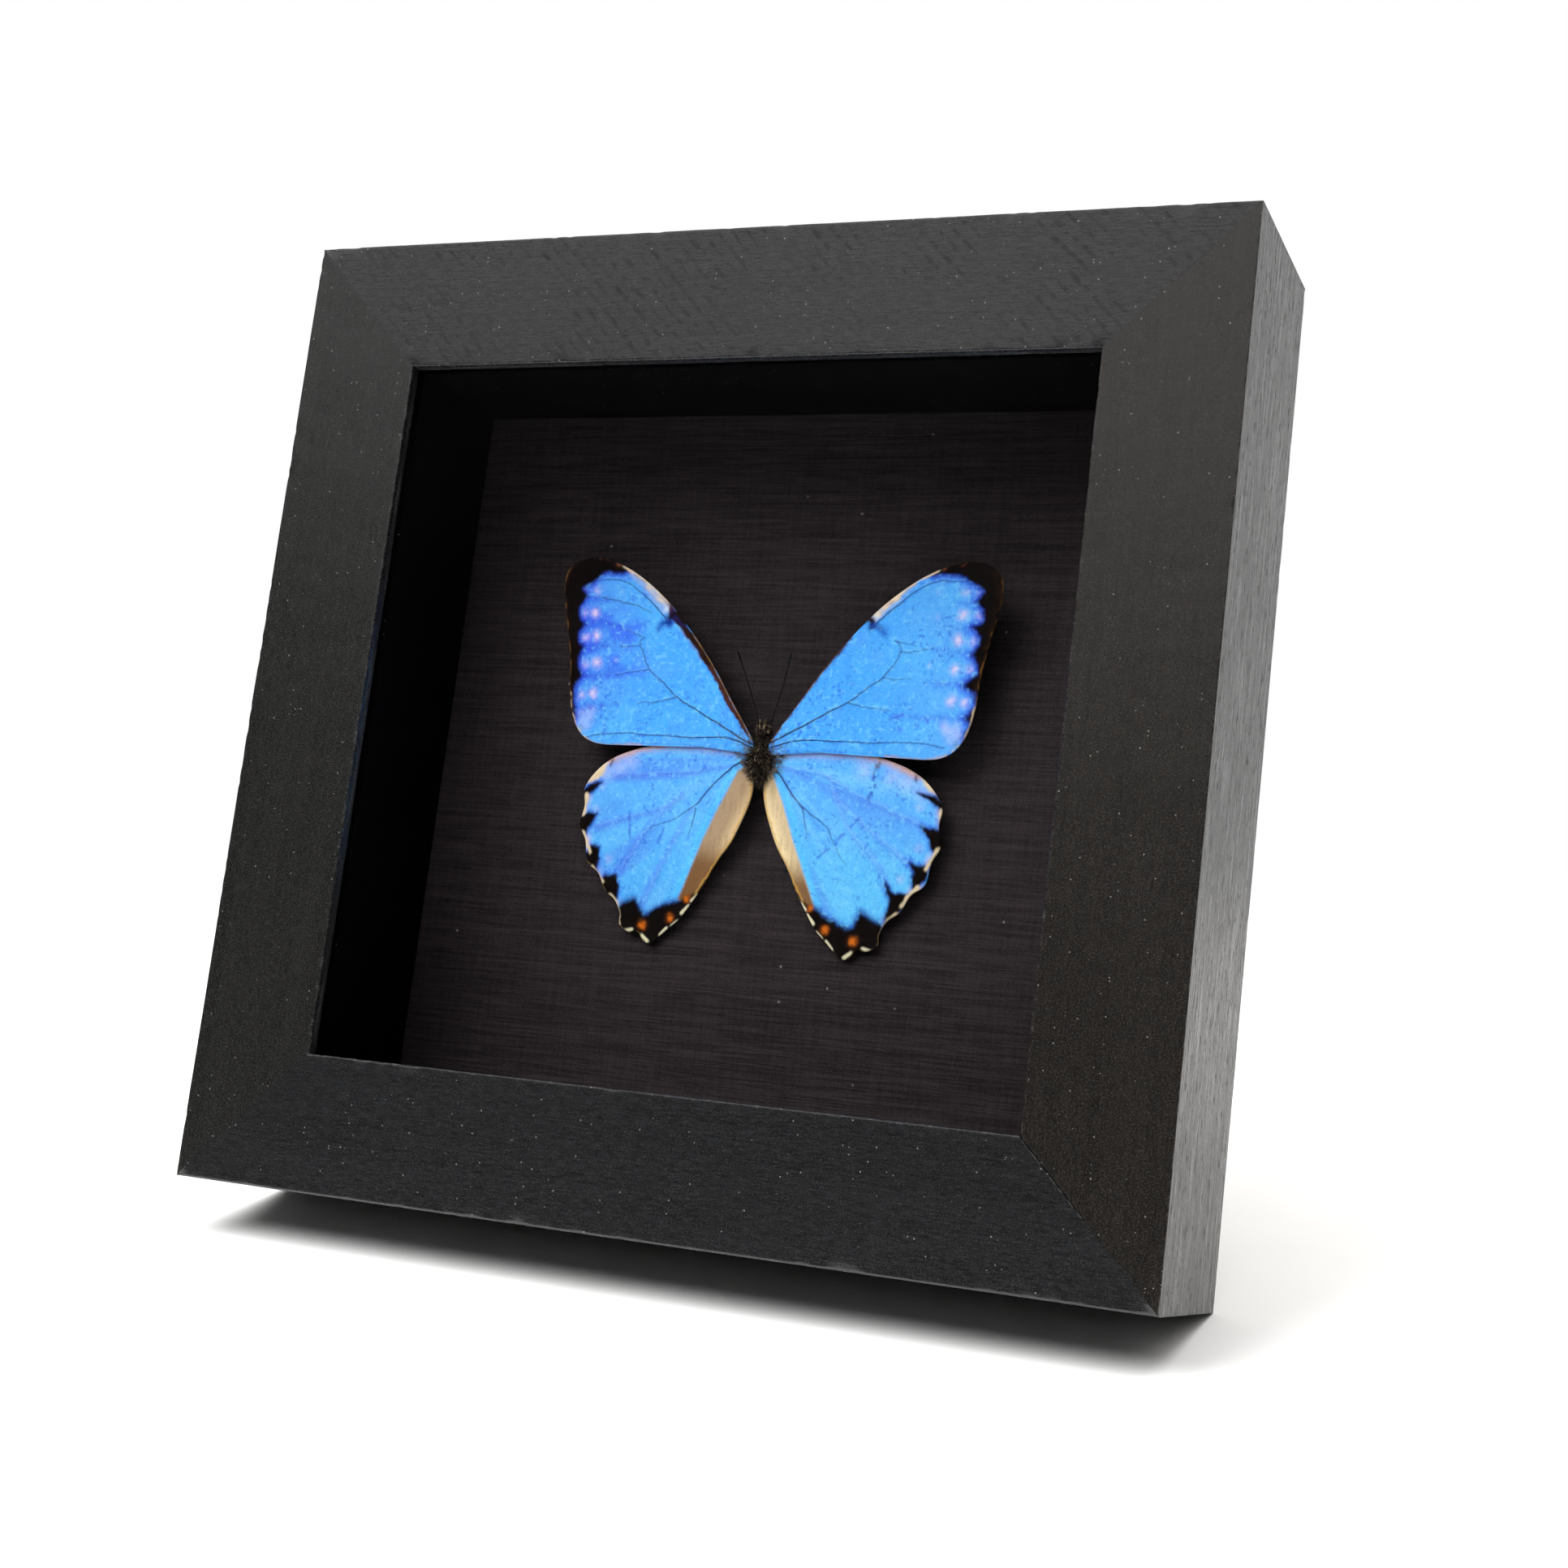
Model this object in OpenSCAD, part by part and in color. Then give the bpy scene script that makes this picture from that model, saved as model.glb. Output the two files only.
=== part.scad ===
// Butterfly display case: a mitred wooden shadow-box frame with a glass front, a liner,
// a linen-covered board with one spread butterfly, a hardboard back and a fold-out easel leg.
// Millimetres, +Z up, the glass faces -Y. The origin is on the floor under the middle of the case.
// Every piece of the case is drawn upright, with the lower front edge of the frame at y = 0, z = 0,
// and in_case() leans it back until its lower rear edge and the easel foot stand on the floor.

/* [Case] */
// Outer width of the frame
case_w = 152.4; // [125:0.1:220]
// Outer height of the frame
case_h = 149; // [130:0.1:220]
// Depth of the frame from its front face to its rear face
case_d = 32; // [26:0.5:45]
// How far the case leans back from upright, in degrees
lean = 16; // [14:0.5:22]

/* [Rails] */
// Width of a rail seen from the front
rail_w = 20.5; // [17:0.5:28]
// Width of the rabbet behind the lip
rabbet_w = 5; // [3.5:0.1:7]
// Thickness of the lip in front of the glass
lip_t = 2; // [1.2:0.1:4]
// Rounding of the rail's front outer edge
edge_r = 0.6; // [0.2:0.1:1.5]
// Rounding of the lip's front inner edge
lip_r = 0.4; // [0.1:0.1:1]

/* [Glass and liner] */
// Thickness of the glass
glass_t = 2; // [1.5:0.1:3]
// Gap between the glass and the rabbet at each edge
glass_play = 0.5; // [0.2:0.1:1.5]
// How far the liner stands back from the edge of the lip
liner_setback = 0.3; // [0.1:0.1:1.5]

/* [Backing] */
// Thickness of the linen-textured sheet
sheet_t = 0.3; // [0.2:0.1:1]
// Thickness of the mount board
board_t = 1.1; // [0.8:0.1:3]
// Thickness of the hardboard back panel
panel_t = 2; // [1.5:0.1:4]
// Gap between the backing and the rabbet at each edge
panel_play = 0.5; // [0.2:0.1:1.5]

/* [Corner V-nails] */
// Length of each leg of a V-nail
vnail_leg = 5; // [3:0.5:7]
// Thickness of the V-nail's steel
vnail_t = 0.6; // [0.4:0.1:1]
// How deep a V-nail is driven into the mitre
vnail_h = 7; // [5:0.5:12]
// Distance from the frame's outer faces to the first V-nail
vnail_inset = 4; // [3:0.5:6]
// Distance between the two V-nails of a corner, in each direction
vnail_pitch = 5; // [4:0.5:6]

/* [Turn buttons] */
// Length of a turn button from end to end
button_len = 20; // [16:0.5:26]
// Width of a turn button
button_w = 9; // [7:0.5:12]
// Thickness of a turn button
button_t = 1; // [0.8:0.1:1.6]
// Distance of a button's screw from the frame's outer face
button_inset = 9; // [7:0.5:10]
// Distance of a button's screw from the top or bottom of the frame
button_end = 42; // [34:1:50]
// Radius of a button screw's shank
screw_r = 1.5; // [1.2:0.1:2]
// Radius of a button screw's head
screw_head_r = 3; // [2.6:0.1:4]
// Height of a button screw's head
screw_head_h = 1.8; // [1.4:0.1:2.4]
// Length of the screw in the wood
screw_len = 10; // [6:0.5:14]
// Radial gap where one metal piece turns on another
running_gap = 0.06; // [0.02:0.01:0.1]
// Gap above and below a turn button, so that it swivels
button_play = 0.1; // [0.05:0.05:0.2]

/* [Sawtooth hanger] */
// Length of the hanger from end to end
hanger_len = 45; // [36:1:60]
// Height of the hanger's plate
hanger_h = 7; // [6:0.5:10]
// Thickness of the hanger's steel
hanger_t = 0.8; // [0.6:0.1:1.2]
// Length of each nailed foot of the hanger
hanger_foot = 8; // [6:0.5:10]
// How far the toothed bridge stands off the rail, for the wall nail
hanger_lift = 1.6; // [1:0.1:3]
// Width of one tooth of the hanger
tooth_w = 2.5; // [2:0.1:4]
// Height of one tooth of the hanger
tooth_h = 1.5; // [1:0.1:2]
// Distance of the hanger's middle from the top of the frame
hanger_drop = 8; // [6:0.5:10]
// Radius of a hanger nail
nail_r = 0.7; // [0.5:0.1:1]
// Radius of a hanger nail's head
nail_head_r = 1.8; // [1.3:0.1:2.2]
// Length of a hanger nail in the wood
nail_len = 9; // [6:0.5:14]

/* [Easel] */
// Height of the easel hinge above the bottom of the frame
hinge_z = 100; // [80:1:110]
// Angle between the open leg and the back panel
open_angle = 30; // [24:1:40]
// Thickness of the leg
leg_t = 2.4; // [2:0.1:4]
// Width of the leg at the hinge
leg_top_w = 22; // [19:0.5:30]
// Width of the leg at the foot
leg_foot_w = 38; // [30:0.5:60]
// Thickness of the steel hinge leaves
leaf_t = 0.8; // [0.6:0.1:1.2]
// Width of the hinge leaves
leaf_w = 17; // [14:0.5:18]
// Length of each hinge leaf
leaf_len = 15; // [12:0.5:20]
// Width of the middle knuckle
knuckle_w = 7; // [5:0.5:8]
// Side gap between knuckles
knuckle_gap = 0.3; // [0.2:0.1:0.5]
// Radius of the hinge pin
pin_r = 0.8; // [0.6:0.05:1]
// Gap between the folded leg and the back panel
fold_gap = 0.5; // [0.3:0.1:1]
// Gap between the knuckles and the back panel
knuckle_lift = 0.1; // [0.05:0.05:0.3]
// Length of the stop tail above the hinge
stop_len = 6; // [4:0.5:8]
// Radius of a rivet's shank
rivet_r = 1; // [0.8:0.1:1.3]
// Radius of a rivet's head
rivet_head_r = 2; // [1.6:0.1:2.4]
// Height of a rivet's head
rivet_head_h = 0.9; // [0.6:0.1:1.2]
// Distance between the two rivets of a leaf
rivet_pitch = 9; // [7:0.5:11]

/* [Butterfly] */
// Sideways place of the butterfly, to the right of the middle of the case
specimen_x = 1.7; // [-6:0.1:6]
// Height of the wing junction above the middle of the case
specimen_z = -0.4; // [-8:0.1:8]
// Distance of the wing plane in front of the linen sheet
specimen_standoff = 4.1; // [4:0.1:8]
// How far the head end tips towards the glass, in degrees
specimen_pitch = 5; // [0:0.5:6]
// Thickness of a wing
wing_t = 0.35; // [0.25:0.05:0.6]
// Gap between a forewing and the hindwing behind it
wing_gap = 0.15; // [0.05:0.05:0.5]
// Radius of the thorax
thorax_r = 1.9; // [1.6:0.1:2.2]
// Length of the thorax
thorax_len = 7.2; // [6.6:0.1:8]
// Radius of the head
head_r = 1.1; // [0.9:0.05:1.3]
// Radius of an eye
eye_r = 0.5; // [0.35:0.05:0.6]
// Length of a palp
palp_len = 1.8; // [1.2:0.1:2.4]
// Radius of an antenna
antenna_r = 0.13; // [0.1:0.01:0.2]
// Radius of the antenna's bend
antenna_bend_r = 34; // [25:1:60]
// Length of an antenna along its bend
antenna_len = 13; // [9:0.5:15]
// Radius of the club at the antenna's tip
club_r = 0.22; // [0.18:0.01:0.3]
// Length of the club at the antenna's tip
club_len = 2.2; // [1.5:0.1:3]
// Width of the cork block under the thorax
block_w = 3; // [2:0.1:3.4]
// Height of the cork block under the thorax
block_h = 5; // [3:0.1:6]

/* [Hidden] */
$fn = 48;

// Room that a cut runs past the faces it cuts
over = 1;
// Segments of a small rounded edge
round_steps = 4;

// Rabbet and the stack of pieces in it, measured from the front face
wall_w = rail_w - rabbet_w;
rabbet_in_w = case_w - 2 * wall_w;
rabbet_in_h = case_h - 2 * wall_w;
glass_back = lip_t + glass_t;
panel_front = case_d - panel_t;
board_front = panel_front - board_t;
sheet_front = board_front - sheet_t;
liner_t = rabbet_w - liner_setback;
liner_d = sheet_front - glass_back;

// Turn buttons and their screws
button_hole_r = screw_r + running_gap;
button_back = case_d + button_play;
head_seat = button_back + button_t + button_play;
slot_w = 0.8;
slot_len = screw_head_r * 1.1;
slot_depth = screw_head_h * 0.45;
button_places = [for (side = [-1, 1], end = [1, -1])
    [side * (case_w / 2 - button_inset), end > 0 ? case_h - button_end : button_end, side]];

// Sawtooth hanger
hanger_z = case_h - hanger_drop;
hanger_nail_x = (hanger_len - hanger_foot) / 2;
hanger_bridge = hanger_len - 2 * hanger_foot;
tooth_count = floor((hanger_bridge - 2 * hanger_t) / tooth_w);

// Easel hinge: the folded leg lies between its leaf and the back panel
knuckle_r = (leaf_t + leg_t + fold_gap - knuckle_lift) / 2;
hinge_y = case_d + knuckle_lift + knuckle_r;
outer_knuckle_w = (leaf_w - knuckle_w) / 2 - knuckle_gap;
pin_bore_r = pin_r + running_gap;
pin_head_r = pin_r + 0.5;
pin_head_w = 0.6;
leaf_clear = knuckle_r + 0.4;
leg_top_gap = knuckle_r + 1.2;
leg_out = knuckle_r - leaf_t;
leg_in = leg_out - leg_t;
rivet_z = leaf_clear + (leaf_len - leaf_clear) / 2;

// The open leg meets the floor: lengths along the leg from the hinge to its two lower edges
spread = open_angle - lean;
hinge_above_floor = hinge_z * cos(lean) - (hinge_y - case_d) * sin(lean);
function leg_reach(y) = (hinge_above_floor + y * sin(spread)) / cos(spread);
foot_back = (hinge_y - case_d) * cos(lean) + hinge_z * sin(lean)
    + leg_out * cos(spread) + leg_reach(leg_out) * sin(spread);
frame_front = (edge_r - case_d) * cos(lean) + edge_r * sin(lean) - edge_r;
shift_y = -(frame_front + foot_back) / 2;

// Butterfly, about the point where the wings meet
specimen_y = sheet_front - specimen_standoff;
hindwing_y = wing_t + wing_gap;
thorax_y = thorax_r / 2;
thorax_z = -1.5;
head_z = thorax_z + thorax_len / 2 + head_r * 0.8;
head_y = thorax_y - 0.3;
eye_x = head_r * 0.8;
antenna_x = head_r * 0.55;
antenna_splay = 18;
antenna_rise = 2;
palp_r = 0.28;
palp_x = palp_r * 0.9;
palp_y = head_y - head_r * 0.73;
palp_splay = 8;

// Outline of the right forewing, from its leading root round the tip to its trailing root
forewing_edge = [
    [1.4, 1.2], [2.6, 3.2], [5.7, 7.6], [9.1, 12.6], [13.2, 17.7], [17.7, 22.4], [22.3, 26],
    [26.3, 28.2], [30.4, 29.4], [33.4, 29.3], [35.8, 27.9], [36.6, 25.5], [36.2, 21.9],
    [35.2, 17.5], [34.3, 12.6], [33.9, 8.3], [33.2, 4.9], [32, 2.3], [30, 0.5], [26.8, -0.2],
    [20.3, 0], [12.2, 0.2], [5.1, -0.3], [1.4, -0.6],
];

// Outline of the right hindwing, from its leading root round the scalloped margin to the inner fold
hindwing_edge = [
    [1.4, -1.2], [2.4, 0.6], [9.1, 1.3], [16.2, 0.6], [22, -0.9], [25.8, -2.6], [28.4, -4.9],
    [29.8, -7.4], [29.5, -9.9], [30, -13], [28.8, -15.4], [28.1, -18.7], [26, -20.4],
    [24.6, -22.9], [22.7, -24.4], [21.6, -26.3], [21.4, -28.2], [19.6, -29.2], [18.2, -29],
    [17.1, -30.4], [15.8, -30.6], [14.4, -29.4], [13, -28.1], [11.3, -26.5], [9.5, -23.9],
    [7.7, -21], [5.7, -17.3], [3.8, -14.4], [2.3, -11.1], [1.2, -8], [0.8, -5.4], [1, -3.6],
];

// Points of an arc from angle a to angle b
function arc(centre, r, a, b, steps) =
    [for (i = [0 : steps]) let (t = a + (b - a) * i / steps) centre + r * [cos(t), sin(t)]];

// Points of a closed smooth curve through the points p, with steps points for each of them
function knot(p, i) = p[(i + len(p)) % len(p)];
function between(a, b, c, d, t) = 0.5 * (2 * b + (c - a) * t + (2 * a - 5 * b + 4 * c - d) * pow(t, 2)
    + (3 * b - a - 3 * c + d) * pow(t, 3));
function smooth_loop(p, steps) = [for (i = [0 : len(p) - 1], k = [0 : steps - 1])
    between(knot(p, i - 1), knot(p, i), knot(p, i + 1), knot(p, i + 2), k / steps)];

// Leans what is drawn upright back on its lower rear edge
module in_case() {
    translate([0, shift_y, 0])
        rotate([-lean, 0, 0])
            translate([0, -case_d, 0])
                children();
}

// A box between two corners
module box(low, high) {
    translate(low)
        cube(high - low);
}

// A plate of the given outline in the plane of the glass, from y = front to y = back
module sheet_between(front, back) {
    translate([0, back, 0])
        rotate([90, 0, 0])
            linear_extrude(back - front)
                children();
}

// A rod along +Y from y = front to y = back
module rod(r, front, back) {
    translate([0, front, 0])
        rotate([-90, 0, 0])
            cylinder(r = r, h = back - front);
}

// A domed head that stands on y = seat and faces +Y
module domed_head(r, h, seat) {
    rim_h = h * 0.4;
    translate([0, seat, 0])
        rotate([-90, 0, 0])
            rotate_extrude()
                polygon(concat([[0, 0], [r, 0], [r, rim_h]],
                    [for (a = [15 : 15 : 90]) [r * cos(a), rim_h + (h - rim_h) * sin(a)]]));
}

/* Frame */

// Cross-section of a rail, as depth and distance from its outer face
rail_section = concat(
    arc([edge_r, edge_r], edge_r, 180, 270, round_steps),
    [[case_d, 0], [case_d, wall_w], [lip_t, wall_w], [lip_t, rail_w]],
    arc([lip_r, rail_w - lip_r], lip_r, 90, 180, round_steps));

// A rail of the given length along +X, mitred at both ends, with its outer face at z = 0
module rail_blank(length) {
    intersection() {
        rotate([90, 0, 90])
            linear_extrude(length)
                polygon(rail_section);
        sheet_between(-over, case_d + over)
            polygon([[0, 0], [length, 0], [length - rail_w, rail_w], [rail_w, rail_w]]);
    }
}

// A rail with the holes of everything that is driven into the frame
module rail(place, turn, length) {
    color([0.13, 0.13, 0.14])
        in_case()
            difference() {
                translate(place)
                    rotate([0, turn, 0])
                        rail_blank(length);
                v_nails(over);
                button_pilots();
                hanger_pilots();
            }
}

module rail_top() rail([case_w / 2, 0, case_h], 180, case_w);
module rail_bottom() rail([-case_w / 2, 0, 0], 0, case_w);
module rail_left() rail([-case_w / 2, 0, case_h], 90, case_h);
module rail_right() rail([case_w / 2, 0, 0], -90, case_h);

// One V-nail, its point on the mitre at distance inset from both outer faces
module v_nail(inset, extra) {
    tip = inset + vnail_leg;
    sheet_between(case_d - vnail_h, case_d + extra)
        polygon([[inset, inset], [tip, inset], [tip, inset + vnail_t],
            [inset + vnail_t, inset + vnail_t], [inset + vnail_t, tip], [inset, tip]]);
}

// The V-nails of all four corners, longer by extra where they cut their own slots
module v_nails(extra) {
    for (side = [0, 1], end = [0, 1], i = [0, 1])
        translate([0, 0, case_h / 2])
            mirror([0, 0, end])
                mirror([side, 0, 0])
                    translate([-case_w / 2, 0, -case_h / 2])
                        v_nail(vnail_inset + i * vnail_pitch, extra);
}

module corner_v_nails() {
    color([0.72, 0.73, 0.75])
        in_case()
            v_nails(0);
}

/* Glass, liner and backing */

module glass_pane() {
    color([0.8, 0.9, 0.92, 0.3])
        in_case()
            pane(rabbet_in_w / 2 - glass_play, rabbet_in_h / 2 - glass_play, lip_t, glass_back);
}

// A rectangular sheet centred in the frame
module pane(half_w, half_h, front, back) {
    box([-half_w, front, case_h / 2 - half_h], [half_w, back, case_h / 2 + half_h]);
}

// A liner strip across the rabbet at the top (side = 1) or the bottom (side = -1)
module liner_across(side) {
    outer = case_h / 2 + side * rabbet_in_h / 2;
    inner = outer - side * liner_t;
    color([0.1, 0.1, 0.1])
        in_case()
            box([-rabbet_in_w / 2, glass_back, min(outer, inner)],
                [rabbet_in_w / 2, sheet_front, max(outer, inner)]);
}

// A liner strip between the top and bottom ones, at the right (side = 1) or the left (side = -1)
module liner_upright(side) {
    outer = side * rabbet_in_w / 2;
    inner = outer - side * liner_t;
    color([0.1, 0.1, 0.1])
        in_case()
            box([min(outer, inner), glass_back, wall_w + liner_t],
                [max(outer, inner), sheet_front, case_h - wall_w - liner_t]);
}

module liner_top() liner_across(1);
module liner_bottom() liner_across(-1);
module liner_left() liner_upright(-1);
module liner_right() liner_upright(1);

// A sheet of the backing, which fills the rabbet but for its play
module backing(front, back) {
    pane(rabbet_in_w / 2 - panel_play, rabbet_in_h / 2 - panel_play, front, back);
}

module linen_sheet() {
    color([0.17, 0.15, 0.16])
        in_case()
            backing(sheet_front, board_front);
}

module mount_board() {
    color([0.55, 0.53, 0.5])
        in_case()
            backing(board_front, panel_front);
}

module back_panel() {
    color([0.3, 0.22, 0.16])
        in_case()
            difference() {
                backing(panel_front, case_d);
                for (x = [-1, 1])
                    translate([x * rivet_pitch / 2, 0, hinge_z + rivet_z])
                        rod(rivet_r, panel_front - over, case_d + over);
            }
}

/* Turn buttons */

// A turn button about its own screw, with its long end along +X
module button_blank() {
    end_r = button_w / 2;
    difference() {
        sheet_between(0, button_t) {
            circle(r = end_r);
            translate([0, -end_r])
                square([button_len - 2 * end_r, button_w]);
            translate([button_len - 2 * end_r, 0])
                circle(r = end_r);
        }
        rod(button_hole_r, -over, button_t + over);
    }
}

// A turn button at one of its four places, its long end over the back panel
module turn_button(place) {
    color([0.72, 0.72, 0.74])
        in_case()
            translate([place[0], button_back, place[1]])
                rotate([0, place[2] > 0 ? 180 : 0, 0])
                    button_blank();
}

module button_left_upper() turn_button(button_places[0]);
module button_left_lower() turn_button(button_places[1]);
module button_right_upper() turn_button(button_places[2]);
module button_right_lower() turn_button(button_places[3]);

// Pilot holes of the button screws
module button_pilots() {
    for (place = button_places)
        translate([place[0], 0, place[1]])
            rod(screw_r, case_d - screw_len, case_d + over);
}

module button_screws() {
    head_top = head_seat + screw_head_h;
    color([0.8, 0.78, 0.7])
        in_case()
            for (place = button_places)
                translate([place[0], 0, place[1]])
                    difference() {
                        union() {
                            rod(screw_r, case_d - screw_len, head_seat);
                            domed_head(screw_head_r, screw_head_h, head_seat);
                        }
                        for (turn = [45, 135])
                            rotate([0, turn, 0])
                                box([-slot_len / 2, head_top - slot_depth, -slot_w / 2],
                                    [slot_len / 2, head_top + over, slot_w / 2]);
                    }
}

/* Sawtooth hanger */

// Cuts or fills the two nail places of the hanger
module at_hanger_nails() {
    for (x = [-1, 1])
        translate([x * hanger_nail_x, 0, hanger_z])
            children();
}

module hanger_pilots() {
    at_hanger_nails()
        rod(nail_r, case_d - nail_len, case_d + over);
}

module hanger() {
    foot_back = case_d + hanger_t;
    bridge_back = foot_back + hanger_lift;
    tooth_start = -tooth_count * tooth_w / 2;
    color([0.75, 0.65, 0.4])
        in_case()
            difference() {
                translate([0, 0, hanger_z])
                    union() {
                        for (side = [0, 1])
                            mirror([side, 0, 0]) {
                                box([hanger_bridge / 2, case_d, -hanger_h / 2],
                                    [hanger_len / 2, foot_back, hanger_h / 2]);
                                box([hanger_bridge / 2 - hanger_t, case_d, -hanger_h / 2],
                                    [hanger_bridge / 2, bridge_back, hanger_h / 2]);
                            }
                        box([-hanger_bridge / 2, bridge_back - hanger_t, -hanger_h / 2],
                            [hanger_bridge / 2, bridge_back, hanger_h / 2]);
                    }
                for (i = [0 : tooth_count - 1])
                    translate([tooth_start + i * tooth_w, 0, hanger_z - hanger_h / 2])
                        sheet_between(bridge_back - hanger_t - over, bridge_back + over)
                            polygon([[0, -over], [tooth_w, -over], [tooth_w, 0],
                                [tooth_w / 2, tooth_h], [0, 0]]);
                at_hanger_nails()
                    rod(nail_r, case_d - over, foot_back + over);
            }
}

module hanger_nails() {
    nail_seat = case_d + hanger_t;
    color([0.78, 0.68, 0.45])
        in_case()
            at_hanger_nails() {
                rod(nail_r, case_d - nail_len, nail_seat);
                domed_head(nail_head_r, nail_r, nail_seat);
            }
}

/* Easel */

// Places what is drawn about the hinge axis with the leg folded, and opens it
module on_leg() {
    translate([0, hinge_y, hinge_z])
        rotate([open_angle, 0, 0])
            children();
}

// A rod along X, centred on the hinge axis
module hinge_rod(r, width) {
    rotate([0, 90, 0])
        cylinder(r = r, h = width, center = true);
}

// Puts rivets in the two places of a leaf, at height z from the hinge
module at_rivets(z) {
    for (x = [-1, 1])
        translate([x * rivet_pitch / 2, 0, z])
            children();
}

module easel_plate() {
    back = -knuckle_r - knuckle_lift;
    knuckle_x = (leaf_w - outer_knuckle_w) / 2;
    color([0.2, 0.2, 0.21])
        in_case()
            translate([0, hinge_y, hinge_z])
                difference() {
                    union() {
                        box([-leaf_w / 2, back, leaf_clear], [leaf_w / 2, back + leaf_t, leaf_len]);
                        for (side = [-1, 1]) {
                            translate([side * knuckle_x, 0, 0])
                                hinge_rod(knuckle_r, outer_knuckle_w);
                            translate([side * knuckle_x - outer_knuckle_w / 2, back, 0])
                                cube([outer_knuckle_w, leaf_t, leaf_clear]);
                        }
                    }
                    hinge_rod(pin_bore_r, leaf_w + over);
                    at_rivets(rivet_z)
                        rod(rivet_r, back - over, back + leaf_t + over);
                }
}

module easel_plate_rivets() {
    color([0.75, 0.75, 0.77])
        in_case()
            translate([0, 0, hinge_z])
                at_rivets(rivet_z) {
                    rod(rivet_r, panel_front, case_d + leaf_t);
                    domed_head(rivet_head_r, rivet_head_h, case_d + leaf_t);
                }
}

module easel_pin() {
    color([0.75, 0.75, 0.77])
        in_case()
            translate([0, hinge_y, hinge_z]) {
                hinge_rod(pin_r, leaf_w + 2 * knuckle_gap);
                for (side = [-1, 1])
                    translate([side * (leaf_w / 2 + knuckle_gap + pin_head_w / 2), 0, 0])
                        hinge_rod(pin_head_r, pin_head_w);
            }
}

module easel_leaf() {
    plate_back = -knuckle_r - knuckle_lift + leaf_t;
    stop_y = plate_back + knuckle_lift;
    color([0.2, 0.2, 0.21])
        in_case()
            on_leg()
                difference() {
                    union() {
                        hinge_rod(knuckle_r, knuckle_w);
                        box([-knuckle_w / 2, leg_out, -leaf_clear], [knuckle_w / 2, knuckle_r, 0]);
                        box([-leaf_w / 2, leg_out, -leaf_len], [leaf_w / 2, knuckle_r, -leaf_clear]);
                        rotate([-open_angle, 0, 0])
                            box([-knuckle_w / 2, stop_y, 0], [knuckle_w / 2, stop_y + leaf_t, stop_len]);
                    }
                    hinge_rod(pin_bore_r, knuckle_w + over);
                    at_rivets(-rivet_z)
                        rod(rivet_r, leg_out - over, knuckle_r + over);
                }
}

module easel_leg() {
    reach = leg_reach(leg_out);
    color([0.14, 0.14, 0.15])
        in_case()
            on_leg()
                difference() {
                    intersection() {
                        rotate([90, 0, 90])
                            linear_extrude(leg_foot_w, center = true)
                                polygon([[leg_in, -leg_top_gap], [leg_out, -leg_top_gap],
                                    [leg_out, -reach], [leg_in, -leg_reach(leg_in)]]);
                        sheet_between(leg_in - over, leg_out + over)
                            polygon([[-leg_top_w / 2, -leg_top_gap], [leg_top_w / 2, -leg_top_gap],
                                [leg_foot_w / 2, -reach], [-leg_foot_w / 2, -reach]]);
                    }
                    at_rivets(-rivet_z)
                        rod(rivet_r, leg_in - over, leg_out + over);
                }
}

module easel_leg_rivets() {
    color([0.75, 0.75, 0.77])
        in_case()
            on_leg()
                at_rivets(-rivet_z) {
                    rod(rivet_r, leg_in, knuckle_r);
                    domed_head(rivet_head_r, rivet_head_h, knuckle_r);
                }
}

/* Butterfly */

// Places what is drawn about the meeting point of the wings
module on_specimen() {
    in_case()
        translate([specimen_x, specimen_y, case_h / 2 + specimen_z])
            rotate([specimen_pitch, 0, 0])
                children();
}

module thorax_shape() {
    half_len = thorax_len / 2;
    translate([0, thorax_y, thorax_z])
        rotate_extrude()
            polygon([for (a = [-90 : 7.5 : 90]) [thorax_r * cos(a), half_len * sin(a)]]);
}

module head_shape() {
    translate([0, head_y, head_z])
        sphere(r = head_r);
}

module eye_shapes() {
    for (side = [-1, 1])
        translate([side * eye_x, head_y - eye_r / 2, head_z])
            sphere(r = eye_r);
}

// A wing of the given outline, its front face wing_t / 2 in front of y, cut where it meets the body
module wing(edge, y, side) {
    color([0.16, 0.5, 0.9])
        on_specimen()
            difference() {
                mirror([side < 0 ? 1 : 0, 0, 0])
                    sheet_between(y - wing_t / 2, y + wing_t / 2)
                        polygon(smooth_loop(edge, 4));
                thorax_shape();
            }
}

module forewing_left() wing(forewing_edge, 0, -1);
module forewing_right() wing(forewing_edge, 0, 1);
module hindwing_left() wing(hindwing_edge, hindwing_y, -1);
module hindwing_right() wing(hindwing_edge, hindwing_y, 1);

module thorax() {
    color([0.12, 0.1, 0.09])
        on_specimen()
            thorax_shape();
}

module head() {
    color([0.12, 0.1, 0.09])
        on_specimen()
            difference() {
                head_shape();
                thorax_shape();
            }
}

// Each eye is a cap that swells out of the side of the head
module eyes() {
    color([0.3, 0.25, 0.2])
        on_specimen()
            difference() {
                eye_shapes();
                head_shape();
            }
}

// The two feelers beside the mouth, which stand up in front of the head
module palps() {
    color([0.35, 0.3, 0.24])
        on_specimen()
            difference() {
                for (side = [-1, 1])
                    translate([side * palp_x, palp_y, head_z])
                        rotate([0, side * palp_splay, 0])
                            cylinder(r1 = palp_r, r2 = palp_r * 0.5, h = palp_len);
                head_shape();
            }
}

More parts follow.
